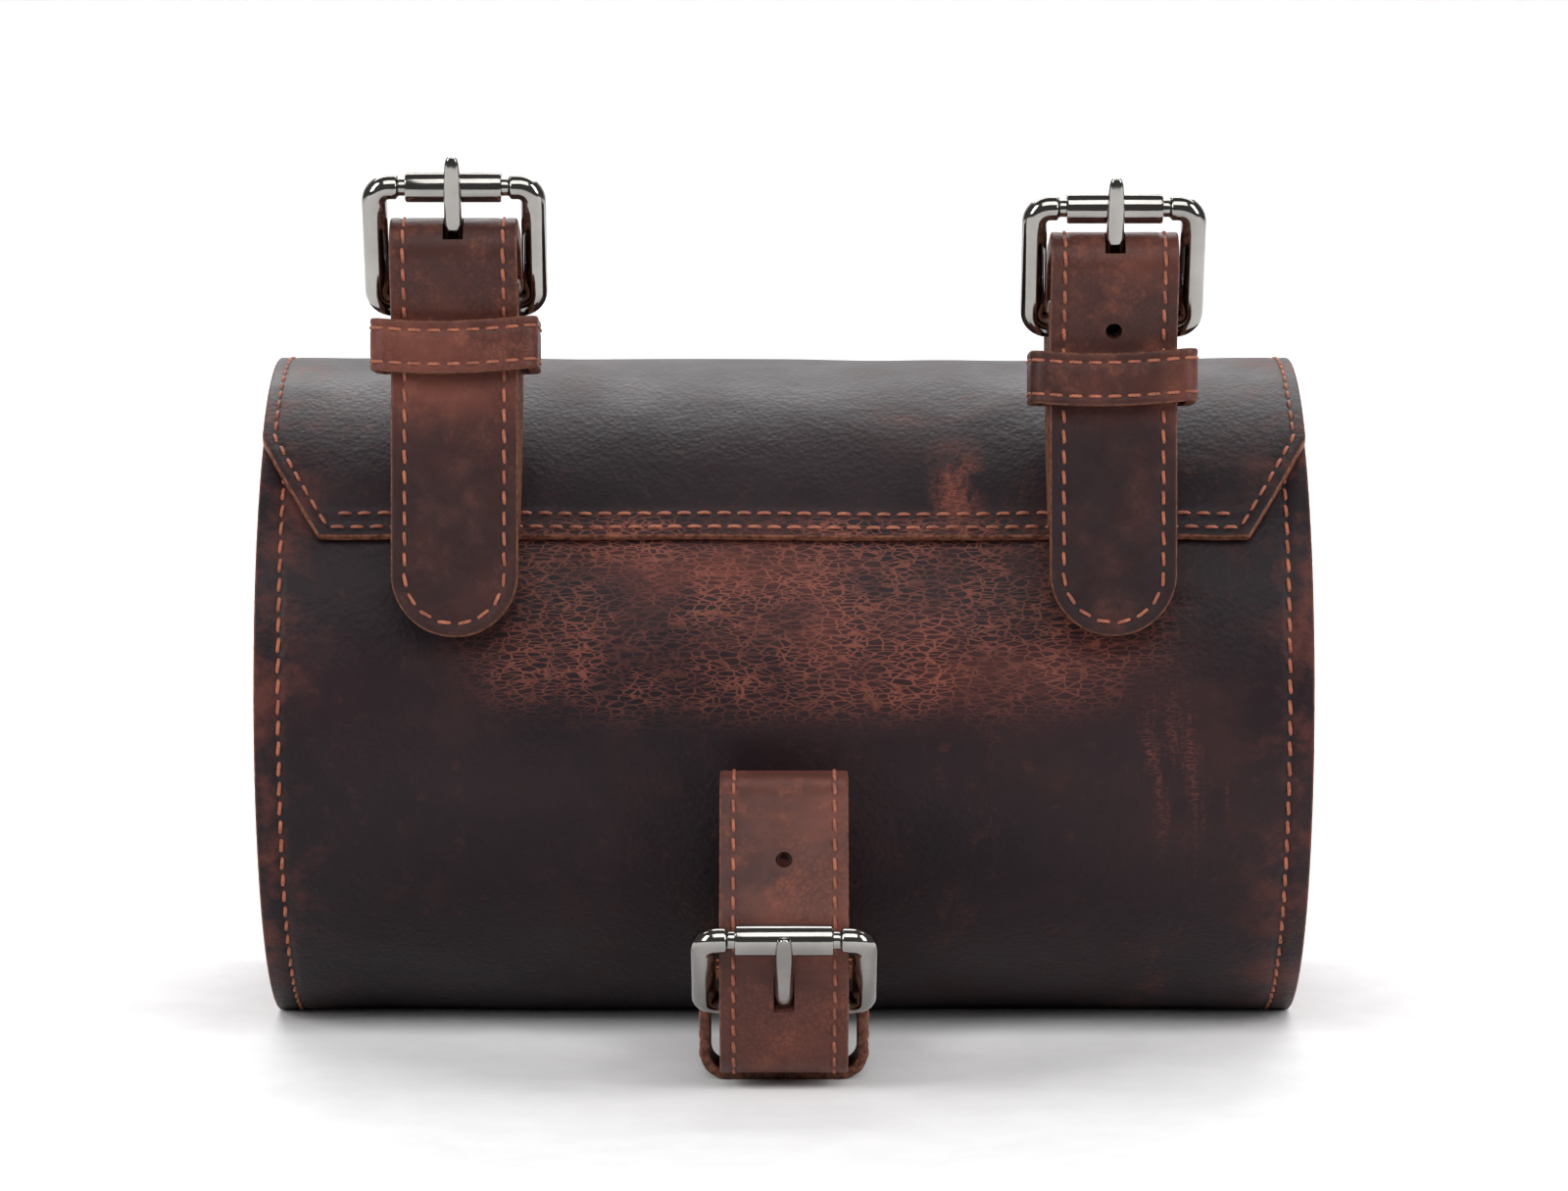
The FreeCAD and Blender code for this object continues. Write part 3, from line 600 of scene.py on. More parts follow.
row_us = [ROW_ONE + (flap_length - 2 * ROW_ONE) * i / 300 for i in range(301)]
outer_line = [[(u, side * (flap_half(u) - ROW_SIDE * flap_lean(u))) for u in row_us]
              for side in (-1, 1)]
corner_x = outer_line[1][0][1]
front_line = [(ROW_ONE, -corner_x + 2 * corner_x * i / 150) for i in range(151)]
inner_x = flap_half(ROW_TWO) - ROW_SIDE * flap_lean(ROW_TWO) - 3.2
second_line = [(ROW_TWO, -inner_x + 2 * inner_x * i / 150) for i in range(151)]
rear_line = [(flap_length - ROW_ONE, x) for _, x in front_line]
rows = []
for run in (outer_line[0], outer_line[1], front_line, second_line, rear_line):
    rows += stitch_row(flap_row(run), 3.9, 3.1, 0.33)
flap_thread = stitches("flap_thread", rows, seed=8)
fold_low = on_barrel(FLAP_OUT, FLAP_FOLD - 5)
fold_high = on_barrel(FLAP_OUT, FLAP_FOLD + 5)
for piece in (flap, flap_thread):
    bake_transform(piece)


# Straps. Every strap is laid along the same route as its solid.

HALF_W = STRAP_W / 2
PRONG_W, PRONG_T = 3.5, 2.8
WIRE = 5.0
REACH = 25.0
STITCH_IN = 2.7
PITCH = 4.0


def tip_flat(u, v):
    """Flat place of a strap point whose end is rounded to a half circle."""
    if u >= HALF_W:
        return u, v
    a, b = (HALF_W - u) / HALF_W, v / HALF_W
    return (HALF_W - a * sqrt(1 - b * b / 2) * HALF_W,
            b * sqrt(1 - a * a / 2) * HALF_W)


def tip_edge(length):
    def edge(u, v):
        x, y = tip_flat(u, v)
        side = HALF_W - abs(y) if x >= HALF_W else HALF_W - hypot(HALF_W - x, y)
        return max(min(side, length - u), 0.0)
    return edge


def strap_across():
    near = [0.0, 0.08, 0.28, 0.6, 1.2, 1.9, 2.3, 2.7, 3.1, 3.5, 4.2]
    middle = [-8.3 + 16.6 * i / 14 for i in range(1, 14)]
    return [n - HALF_W for n in near] + middle + [HALF_W - n for n in near[::-1]]


def strap_along(route, first, last, step=1.6, tip=False):
    near = [0.0, 0.08, 0.28, 0.6]
    values = set(first + n for n in near) | set(last - n for n in near)
    if tip:
        values |= set(first + HALF_W * i / 16 for i in range(1, 17))
    s = 0.0
    for part in route.parts:
        fine = min(step, part[4] * 0.09) if part[0] == "arc" else step * 1.5
        count = max(1, int(ceil(part[3] / fine)))
        values |= set(s + part[3] * i / count for i in range(count + 1))
        s += part[3]
    ordered = sorted(v for v in values if first - 1e-9 <= v <= last + 1e-9)
    result = [ordered[0]]
    for v in ordered[1:]:
        if v - result[-1] > 0.05:
            result.append(v)
    result[-1] = last
    return result


def strap_bend(route, x, low, side=1):
    """Place for a height above the strap's inner face; side 1 lies to the route's left."""
    def bend(u, v, w):
        point, direction = route.at(u)
        return in_space(x + v, point + leftward(direction) * (side * (low + w)))
    return bend


def strap_groove(u, v, distance):
    return 0.22 * exp(-((distance - STITCH_IN) / 0.6) ** 2)


def tongue_line(last):
    """Stitch line in flat places: up one edge, round the tip and back."""
    inset = HALF_W - STITCH_IN
    steps = int((last - HALF_W) / 0.8)
    side = [(last + (HALF_W - last) * i / steps, -inset) for i in range(steps)]
    turn = [(HALF_W - inset * sin(pi * i / 40), -inset * cos(pi * i / 40))
            for i in range(41)]
    back = [(HALF_W + (last - HALF_W) * i / steps, inset) for i in range(1, steps + 1)]
    return side + turn + back


def tilted(x, point, degrees):
    """Places a buckle's own coordinates (across, depth, up) in space."""
    c, s = cos(radians(degrees)), sin(radians(degrees))

    def place(a, b, d):
        return Vector((x + a, point.x + b * c - d * s, point.y + b * s + d * c))
    return place


def box_cutter(place, low, high):
    corners = [(a, b, c) for a in (low[0], high[0]) for b in (low[1], high[1])
               for c in (low[2], high[2])]
    verts = [place(*corner) for corner in corners]
    faces = [(0, 1, 3, 2), (4, 6, 7, 5), (0, 4, 5, 1), (2, 3, 7, 6), (0, 2, 6, 4), (1, 5, 7, 3)]
    return new_object("cutter", verts, faces, smooth=False)


def round_cutter(middle, axis, radius, reach=5.0, sides=28):
    axis = axis.normalized()
    side = axis.orthogonal().normalized()
    other = axis.cross(side)
    verts = [middle + axis * h + (side * a + other * b) * radius
             for h in (-reach, reach) for a, b in around(sides)]
    return new_object("cutter", verts, rings(0, 2, sides) + end_faces(0, 2, sides), smooth=False)


def make_tongue(name, x, route, marks, buckle, slot_box, holes):
    """slot_box: the slot's front, back, (face's foot, lining's foot) and top from the heel bar;
    holes: (mark, distance past it) of each punched hole."""
    last = route.length
    front, back, low, high = slot_box
    pieces = []
    rows = []
    for layer, side in (("face", 1), ("lining", -1)):
        bend = strap_bend(route, x, GAP / 2, side)
        obj = slab(f"{name}_{layer}", strap_along(route, 0.0, last, tip=True), strap_across(),
                   tip_flat, bend, TONGUE - GAP / 2, (0.5, 0.12), edge=tip_edge(last),
                   groove=strap_groove)
        foot = low[0] if side == 1 else low[1]
        cutters = [box_cutter(buckle, (-PRONG_W / 2 - 0.25, -front, foot),
                              (PRONG_W / 2 + 0.25, -back, high))]
        for run, distance in holes:
            point, direction = route.at(marks[run] + distance)
            cutters.append(round_cutter(in_space(x, point), in_space(0, leftward(direction)), 1.65))
        cut(obj, cutters)
        sharpen(obj, 50)
        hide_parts(f"{name}_tongue_{layer}")
        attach(obj, "bag")
        pieces.append(obj)
        line = [(bend(u, v, TONGUE - GAP / 2 - 0.16),
                 in_space(0, leftward(route.at(u)[1]) * side)) for u, v in tongue_line(last - 9.0)]
        rows += stitch_row(line, PITCH, 3.1, 0.33, slant=0.08)
    thread = stitches(f"{name}_tongue_thread", rows, seed=11)
    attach(thread, "bag")
    return pieces + [thread]


def base_route(heel, root, angle, tail, rise, root_bend):
    inner = root + BASE / 2
    outer = inner + BASE + GAP
    half = BASE / 2 + GAP
    wrap = WIRE / 2 + 0.09 + BASE / 2
    bend = wrap - 0.4
    start = on_barrel(inner, angle, rise)
    turn = (heel - start).angle(upward(angle))
    slip = (2 * half - (outer - inner) * cos(turn)) / sin(turn)
    outer_corner = on_barrel(outer, angle, rise - slip)
    along = (heel - (start + outer_corner) * 0.5).normalized()
    across = -leftward(along)
    return Route([(on_barrel(inner, angle, -tail), 0), (start, root_bend),
                  (heel + across * half - along * 10, 12),
                  (heel + across * wrap - along * 1.5, 6),
                  (heel + across * wrap + along * wrap, bend),
                  (heel - across * wrap + along * wrap, bend),
                  (heel - across * wrap - along * 1.5, 6),
                  (heel - across * half - along * 10, 12),
                  (outer_corner, root_bend + 2), (on_barrel(outer, angle, -tail), 0)])


def make_base(name, x, route, buckle):
    obj = slab(f"{name}_base", strap_along(route, 0.0, route.length, step=1.2), strap_across(),
               lambda u, v: (u, v), strap_bend(route, x, -BASE / 2, 1), BASE, (0.5, 0.5))
    cut(obj, [box_cutter(buckle, (-PRONG_W / 2 - 0.3, -7.0, -6.0),
                         (PRONG_W / 2 + 0.3, 7.0, 8.0))])
    sharpen(obj, 50)
    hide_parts(f"{name}_buckle_strap")
    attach(obj, "bag")
    rows = []
    first, last = route.length * 0.62, route.length - 3.0
    for v in (-HALF_W + STITCH_IN, HALF_W - STITCH_IN):
        line = []
        for i in range(81):
            point, direction = route.at(first + (last - first) * i / 80)
            line.append((in_space(x + v, point + leftward(direction) * (BASE / 2 - 0.1)),
                         in_space(0, leftward(direction))))
        rows += stitch_row(line, PITCH, 3.1, 0.33)
    thread = stitches(f"{name}_base_thread", rows, seed=13)
    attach(thread, "bag")
    return [obj, thread]


KEEPER_W, KEEPER_WALL, KEEPER_H = 33.0, 2.1, 10.4
KEEPER_BEND, KEEPER_ROW, KEEPER_START = 2.15, 1.9, 0.15


def make_keeper(name, place, depth, shift, body_name, corner=KEEPER_BEND):
    """A band sewn into a loop. Its own axes are across, depth and along the strap."""
    x, y = (KEEPER_W - KEEPER_WALL) / 2, (depth - KEEPER_WALL) / 2
    back = vec(0, y + shift)
    corners = [(back, 0), (vec(-x, y + shift), corner), (vec(-x, -y + shift), KEEPER_BEND),
               (vec(x, -y + shift), KEEPER_BEND), (vec(x, y + shift), corner), (back, 0)]
    route = Route(corners)
    half = KEEPER_WALL / 2
    near = [0.0, 0.08, 0.28, 0.6, 1.1, 1.5, 1.9, 2.3, 2.9]
    vs = near + [4.0, 5.2, 6.4] + [KEEPER_H - n for n in near[::-1]]

    def bend(u, v, w):
        point, direction = route.at(u)
        out = -leftward(direction)
        spot = point + out * (w - half)
        front = smoothstep(-2.0, -y + shift, point.y) if point.y < -2.0 else 0.0
        across = point.x / x
        sag = -0.85 * front * (1 - across * across)
        tilt = 0.25 * sin(across * 1.7) * front
        belly = 0.35 * sin(pi * min(max(v / KEEPER_H, 0), 1)) * (1 - across * across)
        return place(spot.x, spot.y - 0.5 * belly * front, v + sag + tilt)

    def groove(u, v, distance):
        return 0.2 * exp(-((min(v, KEEPER_H - v) - KEEPER_ROW) / 0.5) ** 2)

    def sewn(u, v, sunk):
        return (bend(u, v, KEEPER_WALL - sunk),
                bend(u, v, KEEPER_WALL) - bend(u, v, KEEPER_WALL - 0.5))
    us = strap_along(route, KEEPER_START, route.length - KEEPER_START, step=1.3)
    obj = slab(f"{name}_loop", us, vs, lambda u, v: (u, v), bend, KEEPER_WALL, (0.5, 0.35),
               edge=lambda u, v: (min(u - KEEPER_START, route.length - KEEPER_START - u),
                                  min(v, KEEPER_H - v)),
               groove=groove)
    sharpen(obj, 55)
    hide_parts(name)
    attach(obj, body_name)
    rows = []
    for v in (KEEPER_ROW, KEEPER_H - KEEPER_ROW):
        rows += stitch_row([sewn(2.0 + (route.length - 4.0) * i / 240, v, 0.15)
                            for i in range(241)], 3.7, 2.9, 0.3)
    for u in (2.2, route.length - 2.2):
        rows += stitch_row([sewn(u, KEEPER_ROW + (KEEPER_H - 2 * KEEPER_ROW) * i / 20, 0.05)
                            for i in range(21)], 3.2, 2.6, 0.3)
    thread = stitches(f"{name}_thread", rows, seed=17)
    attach(thread, body_name)
    return [obj, thread]


# Roller buckles.

BUCKLE_W = 36.2
ROLLER_LENGTH, ROLLER_OUT, ROLLER_BORE = 19.0, 3.1, 1.86
NECK = 1.8


def make_buckle(name, place):
    half, bend = (BUCKLE_W - WIRE) / 2, 3.0
    run = 2 * (half - bend)
    outline = [(-half, REACH / 2)]
    for cx, cz, start in ((-half + bend, REACH - bend, 180), (half - bend, REACH - bend, 90),
                          (half - bend, bend, 0), (-half + bend, bend, -90)):
        if start == 90:
            outline += [(-half + bend + run * i / 120, REACH) for i in range(1, 120)]
        if start == -90:
            outline += [(half - bend - run * i / 12, 0.0) for i in range(1, 12)]
        for i in range(9):
            a = radians(start - 90 * i / 8)
            outline.append((cx + bend * cos(a), cz + bend * sin(a)))
    centres = [place(a, 0.0, c) for a, c in outline]
    radii = []
    for a, c in outline:
        slim = smoothstep(11.4, 10.6, abs(a)) if c > REACH - 0.01 else 0.0
        radii.append(WIRE / 2 - (WIRE / 2 - NECK) * slim)
    depth_axis = (place(0, 1, 0) - place(0, 0, 0)).normalized()
    frame_obj = loop_of_wire(f"{name}_ring", centres, radii, depth_axis, 28)
    recalculate(frame_obj)
    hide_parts(f"{name}_buckle_frame")
    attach(frame_obj, f"{name}_buckle_frame")

    # a sheet-metal sleeve with rolled ends and a seam behind
    length, outer, bore = ROLLER_LENGTH, ROLLER_OUT, ROLLER_BORE
    outline = [(bore, 0.5), (bore + 0.12, 0.16), (bore + 0.45, 0.0), (outer - 0.5, 0.0),
               (outer - 0.14, 0.14), (outer, 0.5), (outer, length - 0.5),
               (outer - 0.14, length - 0.14), (outer - 0.5, length), (bore + 0.45, length),
               (bore + 0.12, length - 0.16), (bore, length - 0.5)]
    verts, sides = [], 48
    for r, z in outline:
        for k, (a, b) in enumerate(around(sides, 0.5)):
            radius = r - (0.22 if k in (0, sides - 1) and r > bore + 0.5 else 0.0)
            verts.append(place(z - length / 2, radius * a, REACH + radius * b))
    roller = new_object(f"{name}_sleeve", verts, rings(0, len(outline), sides, closed=True))
    recalculate(roller)
    sharpen(roller, 40)
    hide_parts(f"{name}_buckle_roller")
    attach(roller, f"{name}_buckle_roller")

    # a prong rolled round the heel bar
    eye_in, eye_out, wide = WIRE / 2 + 0.06, WIRE / 2 + 0.06 + PRONG_T, PRONG_W
    ring = [(eye_in, 0.3), (eye_in + 0.3, 0.0), (eye_out - 0.6, 0.0), (eye_out, 0.6),
            (eye_out, wide - 0.6), (eye_out - 0.6, wide), (eye_in + 0.3, wide),
            (eye_in, wide - 0.3)]
    sides = 36
    verts = [place(z - wide / 2, r * a, r * b) for r, z in ring for a, b in around(sides)]
    faces = rings(0, len(ring), sides, closed=True)
    base = len(verts)
    rest = -(ROLLER_OUT + 0.15 + PRONG_T)
    line = [(-eye_out, -0.5, wide / 2, PRONG_T), (-eye_out, 2.0, wide / 2, PRONG_T),
            (-eye_out - 0.25, 9.0, wide / 2, PRONG_T), (rest + 0.12, 18.0, wide / 2, PRONG_T),
            (rest, REACH - 2, wide / 2, PRONG_T), (rest, REACH + 2, wide / 2 - 0.05, PRONG_T),
            (rest + 0.25, REACH + 5.0, wide / 2 - 0.2, PRONG_T - 0.35),
            (rest + 0.62, REACH + 6.7, wide / 2 - 0.38, PRONG_T - 0.8),
            (rest + 0.8, REACH + 7.5, wide / 2 - 0.6, PRONG_T - 1.1),
            (rest + 0.95, REACH + 8.0, wide / 2 - 0.9, PRONG_T - 1.5),
            (rest + 1.1, REACH + 8.22, wide / 2 - 1.25, PRONG_T - 1.95),
            (rest + 1.2, REACH + 8.3, wide / 2 - 1.6, PRONG_T - 2.35)]
    sides = 20
    for front, up, half_wide, thick in line:
        for c, s in around(sides):
            cx = copysign(abs(c) ** 0.55, c)
            cy = copysign(abs(s) ** (0.8 if s < 0 else 0.45), s)
            verts.append(place(cx * half_wide, front + thick / 2 + cy * thick / 2, up))
    root_face, tip_face = end_faces(base, len(line), sides)
    faces += rings(base, len(line), sides) + [root_face[::-1], tip_face]
    prong = new_object(f"{name}_pin", verts, faces)
    recalculate(prong)
    sharpen(prong, 60)
    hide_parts(f"{name}_buckle_prong")
    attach(prong, f"{name}_buckle_prong")
    return [frame_obj, roller, prong]


def corner_marks(route, corners):
    """Distance along the route of the point nearest each corner."""
    samples = [route.at(route.length * k / 4000)[0] for k in range(4001)]
    marks = [0.0]
    for corner, _ in corners[1:]:
        gaps = [(p - corner).length for p in samples]
        marks.append(route.length * gaps.index(min(gaps)) / 4000)
    return marks


strap_pieces, metal_pieces = [], []
ROOT = FLAP_OUT + 0.1 + TONGUE
ROOT_ANGLE, ROOT_TAIL = 42.0, 8.5
LEAN, BUCKLE_TILT = 9.0, 19.0
for name, side, heel_offset, tip, fold_top, keeper_foot, holes in (
        ("left", -1, vec(-51.7, 85.6), -66.2, 15.4, -13.7, ((4, 10),)),
        ("right", 1, vec(-52.4, 81.5), -61.8, 16.7, -15.9, ((0, 60.6), (4, 10)))):
    full = f"saddle_strap_{name}"
    x = side * STRAP_X
    lean = radians(LEAN)
    forward, up = vec(-cos(lean), sin(lean)), vec(sin(lean), cos(lean))
    heel = CENTRE + heel_offset
    slope = tan(lean + radians(BUCKLE_TILT))
    buckle = tilted(x, heel, BUCKLE_TILT)

    def at(a, b):
        return heel + forward * a + up * b
    corners = [(at(7.5, tip), 0), (at(7.5, -3.0), 12),
               (at(7.5 + (fold_top + 3.0) * slope, fold_top), 4.7),
               (at(-4, fold_top - 2.5), 10), (at(-20, 2), 12),
               (on_barrel(ROOT, ROOT_ANGLE, 8), 20), (on_barrel(ROOT, ROOT_ANGLE, -ROOT_TAIL), 0)]
    route = Route(corners)
    strap_pieces += make_tongue(full, x, route, corner_marks(route, corners), buckle,
                                (8.0, 2.4, (11.2, 5.0), 36.0), holes)
    strap_pieces += make_base(full, x, base_route(heel, ROOT + TONGUE + 0.1, ROOT_ANGLE,
                                                  ROOT_TAIL, 3.0, 6), buckle)
    metal_pieces += make_buckle(full, buckle)
    strap_pieces += make_keeper(f"{full}_keeper", tilted(x, at(0, keeper_foot), -LEAN), 20.0,
                                -2.65, f"{full}_keeper")

heel = vec(-90.5, 17.2)
POST_TILT = 49.7
angle = radians(POST_TILT)
roller_at = heel + vec(-sin(angle), cos(angle)) * REACH
at_roller = roller_at + vec(3.8, -0.3)
approach = heel - at_roller
clear = asin(7.3 / approach.length)
slope = atan2(approach.y, approach.x) - clear
turn_under = vec(at_roller.x + (4.6 - at_roller.y) / tan(slope), 4.6)
post_root = RADIUS + 0.1 + TONGUE
corners = [(vec(-54.0, 4.6), 0), (turn_under, 7), (at_roller, 10), (vec(-88.5, 59.2), 5.5),
           (vec(-77.0, 59.2), 5), (on_barrel(post_root, -26.0, 6), 10),
           (on_barrel(post_root, -26.0, -8), 0)]
route = Route(corners)
buckle = tilted(0.0, heel, POST_TILT)
strap_pieces += make_tongue("post_strap", 0.0, route, corner_marks(route, corners), buckle,
                            (6.8, 2.6, (7.6, 0.5), 36.0), ((2, 15.0),))
strap_pieces += make_base("post_strap", 0.0, base_route(heel, RADIUS + 0.1, -52.0, 6.0, 5.0, 4),
                          buckle)
metal_pieces += make_buckle("post_strap", buckle)


def post_keeper_place(a, b, c):
    # depth runs up, and the loop's height runs back along the strap
    return Vector((a, -83.5 + c, 0.1 + 11.1 - b))


strap_pieces += make_keeper("post_strap_keeper", post_keeper_place, 22.2, 0, "post_strap_keeper",
                            4.2)


# Press studs under the flap's free edge.

def stud_frames():
    direction = outward(168.0)
    offset = REAR_CENTRE - CENTRE
    along = offset.dot(direction)
    reach = -along + sqrt(along ** 2 - offset.dot(offset) + RADIUS ** 2)
    foot = REAR_CENTRE + direction * reach
    return foot, direction, REAR_IN - reach


stud_foot, stud_out, stud_gap = stud_frames()
cap_low = stud_gap + LEATHER + GAP
cap_profile = ([(1.8, cap_low), (6.0, cap_low), (6.2, cap_low + 0.25), (6.2, cap_low + 0.7)]
               + [(6.2 * cos(radians(a)), cap_low + 0.8 + 1.8 * sin(radians(a)))
                  for a in range(6, 90, 7)] + [(0.05, cap_low + 2.6)])
caps = []
for side in (-1, 1):
    def place(a, b, c, x=side * STRAP_X):
        tangent = leftward(stud_out)
        return in_space(x + a, stud_foot + tangent * b + stud_out * c)
    caps.append(lathe("cap", cap_profile, place))
cap_pair = join("stud_caps", caps)
sharpen(cap_pair, 50)
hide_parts("snap_caps")
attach(cap_pair, "flap")


# Materials.

class Nodes:
    """A small builder for one material's nodes."""

    def __init__(self, name):
        self.material = bpy.data.materials.new(name)
        self.material.use_nodes = True
        self.tree = self.material.node_tree
        self.shader = self.tree.nodes["Principled BSDF"]
        self.coords = self.new("ShaderNodeTexCoord").outputs["Object"]

    def new(self, kind, inputs=(), **settings):
        node = self.tree.nodes.new(kind)
        for key, value in settings.items():
            setattr(node, key, value)
        for key, value in dict(inputs).items():
            self.feed(node.inputs[key], value)
        return node

    def feed(self, socket, value):
        if isinstance(value, bpy.types.NodeSocket):
            self.tree.links.new(value, socket)
        else:
            socket.default_value = value

    def stretched(self, scale, vector=None):
        return self.new("ShaderNodeMapping", {"Vector": vector or self.coords,
                                              "Scale": scale}).outputs["Vector"]

    def noise(self, scale, detail=4.0, roughness=0.55, vector=None, distortion=0.0,
              output="Fac"):
        return self.new("ShaderNodeTexNoise", {
            "Vector": vector or self.coords, "Scale": scale, "Detail": detail,
            "Roughness": roughness, "Distortion": distortion}).outputs[output]

    def cells(self, scale, feature="F1", vector=None):
        return self.new("ShaderNodeTexVoronoi", {"Vector": vector or self.coords, "Scale": scale},
                        feature=feature).outputs["Distance"]

    def map(self, value, a, b, c=0.0, d=1.0):
        return self.new("ShaderNodeMapRange", {
            "Value": value, "From Min": a, "From Max": b, "To Min": c, "To Max": d},
            interpolation_type="SMOOTHSTEP").outputs["Result"]

    def math(self, operation, a, b=0.0):
        return self.new("ShaderNodeMath", {0: a, 1: b}, operation=operation).outputs["Value"]

    def times(self, *values):
        result = values[0]
        for value in values[1:]:
            result = self.math("MULTIPLY", result, value)
        return result

    def mix(self, share, a, b):
        return self.new("ShaderNodeMix", {0: share, 6: a, 7: b}, data_type="RGBA").outputs[2]

    def axes(self):
        node = self.new("ShaderNodeSeparateXYZ", {"Vector": self.coords})
        return node.outputs["X"], node.outputs["Y"], node.outputs["Z"]

    def attribute(self, name):
        return self.new("ShaderNodeAttribute", attribute_name=name).outputs["Fac"]

    def bump(self, height, distance, strength, under=None):
        inputs = {"Height": height, "Distance": distance, "Strength": strength}
        if under is not None:
            inputs["Normal"] = under
        return self.new("ShaderNodeBump", inputs).outputs["Normal"]

    def finish(self, color, roughness, normal, metallic=0.0, specular=0.5, sheen=0.0):
        for key, value in (("Base Color", color), ("Roughness", roughness), ("Normal", normal),
                           ("Metallic", metallic), ("Specular IOR Level", specular),
                           ("Sheen Weight", sheen)):
            self.feed(self.shader.inputs[key], value)
        return self.material


def rgb(r, g, b):
    """Linear colour from a display colour of 0 to 255."""
    return tuple(((c / 255 + 0.055) / 1.055) ** 2.4 if c > 10 else c / 255 / 12.92
                 for c in (r, g, b)) + (1.0,)


def crack_lines(n, scale, stretch, width, warp=0.004):
    """Thin branching lines, as the cracks in rubbed waxed leather."""
    swirl = n.noise(160.0, 5.0, 0.5, output="Color")
    shifted = n.new("ShaderNodeVectorMath", {0: swirl, 1: (warp, warp, warp * 0.6), 2: n.coords},
                    operation="MULTIPLY_ADD").outputs["Vector"]
    edge = n.cells(scale, "DISTANCE_TO_EDGE", n.stretched(stretch, shifted))
    return n.map(edge, width, 0.0)


def with_raw_edge(n, color, scale, dark, light):
    """The finish's colour, with cut fibres where the mesh's raw attribute is high."""
    edge = n.mix(n.map(n.noise(scale, 5.0, 0.7), 0.35, 0.65), dark, light)
    return n.mix(n.map(n.attribute("raw"), 0.3, 0.9), color, edge)


def bag_leather():
    n = Nodes("waxed_leather")
    x, y, z = n.axes()
    broad = n.noise(13.0, 5.0, 0.6, distortion=0.4)
    cloud = n.noise(42.0, 7.0, 0.65)
    fine = n.noise(230.0, 6.0, 0.7)
    color = n.mix(n.map(broad, 0.35, 0.7), rgb(28, 20, 24), rgb(41, 28, 31))
    color = n.mix(n.times(n.map(cloud, 0.5, 0.78), 0.45), color, rgb(62, 36, 33))
    # worn band across the front, just under the flap: cracks of real wear, and a smooth lighter
    # glow that is partly wear and partly a painted highlight where light falls on the barrel's
    # upper front
    width = n.times(n.map(x, -0.075, -0.03), n.map(x, 0.095, 0.02))
    height = n.times(n.map(z, 0.062, 0.088), n.map(z, 0.112, 0.098))
    front = n.map(y, -0.035, -0.05)
    band = n.times(width, height, front)
    drift = n.noise(34.0, 6.0, 0.6, n.stretched((0.5, 1.0, 1.0)), 0.6)
    wear_and_highlight = n.times(band, n.map(drift, 0.36, 0.66))
    small = crack_lines(n, 980.0, (0.36, 1.0, 1.0), 0.11, 0.0015)
    large = crack_lines(n, 620.0, (0.22, 1.0, 1.0), 0.06, 0.0018)
    lines = n.math("MAXIMUM", small, large)
    patches = n.map(n.noise(70.0, 5.0, 0.65), 0.34, 0.62, 0.22, 1.0)
    band_lines = n.times(lines, n.map(band, 0.02, 0.4), patches)
    # a rubbed streak that runs up the flap
    streak = n.times(n.map(x, 0.0275, 0.033), n.map(x, 0.0415, 0.036), n.map(z, 0.1, 0.112), front)
    streaky = n.noise(120.0, 6.0, 0.7, n.stretched((1.6, 1.0, 0.22)))
    streak = n.times(streak, n.map(streaky, 0.4, 0.58))
    # rubbed ends and random scuffs
    ends = n.map(n.math("ABSOLUTE", x), 0.084, 0.104)
    rubbed = n.times(ends, n.map(n.noise(60.0, 8.0, 0.7), 0.45, 0.66), 0.6)
    scuffs = n.map(n.noise(21.0, 9.0, 0.72, n.stretched((1.0, 0.6, 0.35)), 1.2), 0.56, 0.72)
    faint = n.times(scuffs, n.math("MAXIMUM", n.times(lines, 0.8), 0.18))
    # warm brown for rubbed wear, scuffs and the streak, and for the band's glow, which is partly
    # painted highlight
    warm_wear_and_highlight = n.math("MAXIMUM", n.times(wear_and_highlight, 0.62), n.math("MAXIMUM", rubbed, n.times(faint, 0.7)))
    warm_wear_and_highlight = n.math("MAXIMUM", warm_wear_and_highlight, n.times(streak, 0.75))
    color = n.mix(n.times(warm_wear_and_highlight, 0.9), color, rgb(104, 55, 46))
    cracked = n.math("MAXIMUM", band_lines, n.times(lines, n.math("MAXIMUM", faint, streak), 0.8))
    color = n.mix(n.times(cracked, 0.55), color, rgb(146, 84, 68))
    color = n.mix(n.times(n.map(fine, 0.56, 0.75), 0.3), color, rgb(84, 47, 40))
    color = with_raw_edge(n, color, 700.0, rgb(72, 42, 34), rgb(132, 84, 64))
    roughness = n.math("ADD", n.map(cloud, 0.3, 0.7, 0.4, 0.52), n.times(warm_wear_and_highlight, 0.12))
    normal = n.bump(n.cells(820.0), 0.00022, 0.35)
    normal = n.bump(n.noise(1500.0, 4.0, 0.6), 0.00012, 0.4, normal)
    normal = n.bump(n.noise(85.0, 9.0, 0.68, distortion=1.0), 0.001, 0.28, normal)
    normal = n.bump(cracked, 0.00025, -0.5, normal)
    return n.finish(color, roughness, normal, specular=0.16)


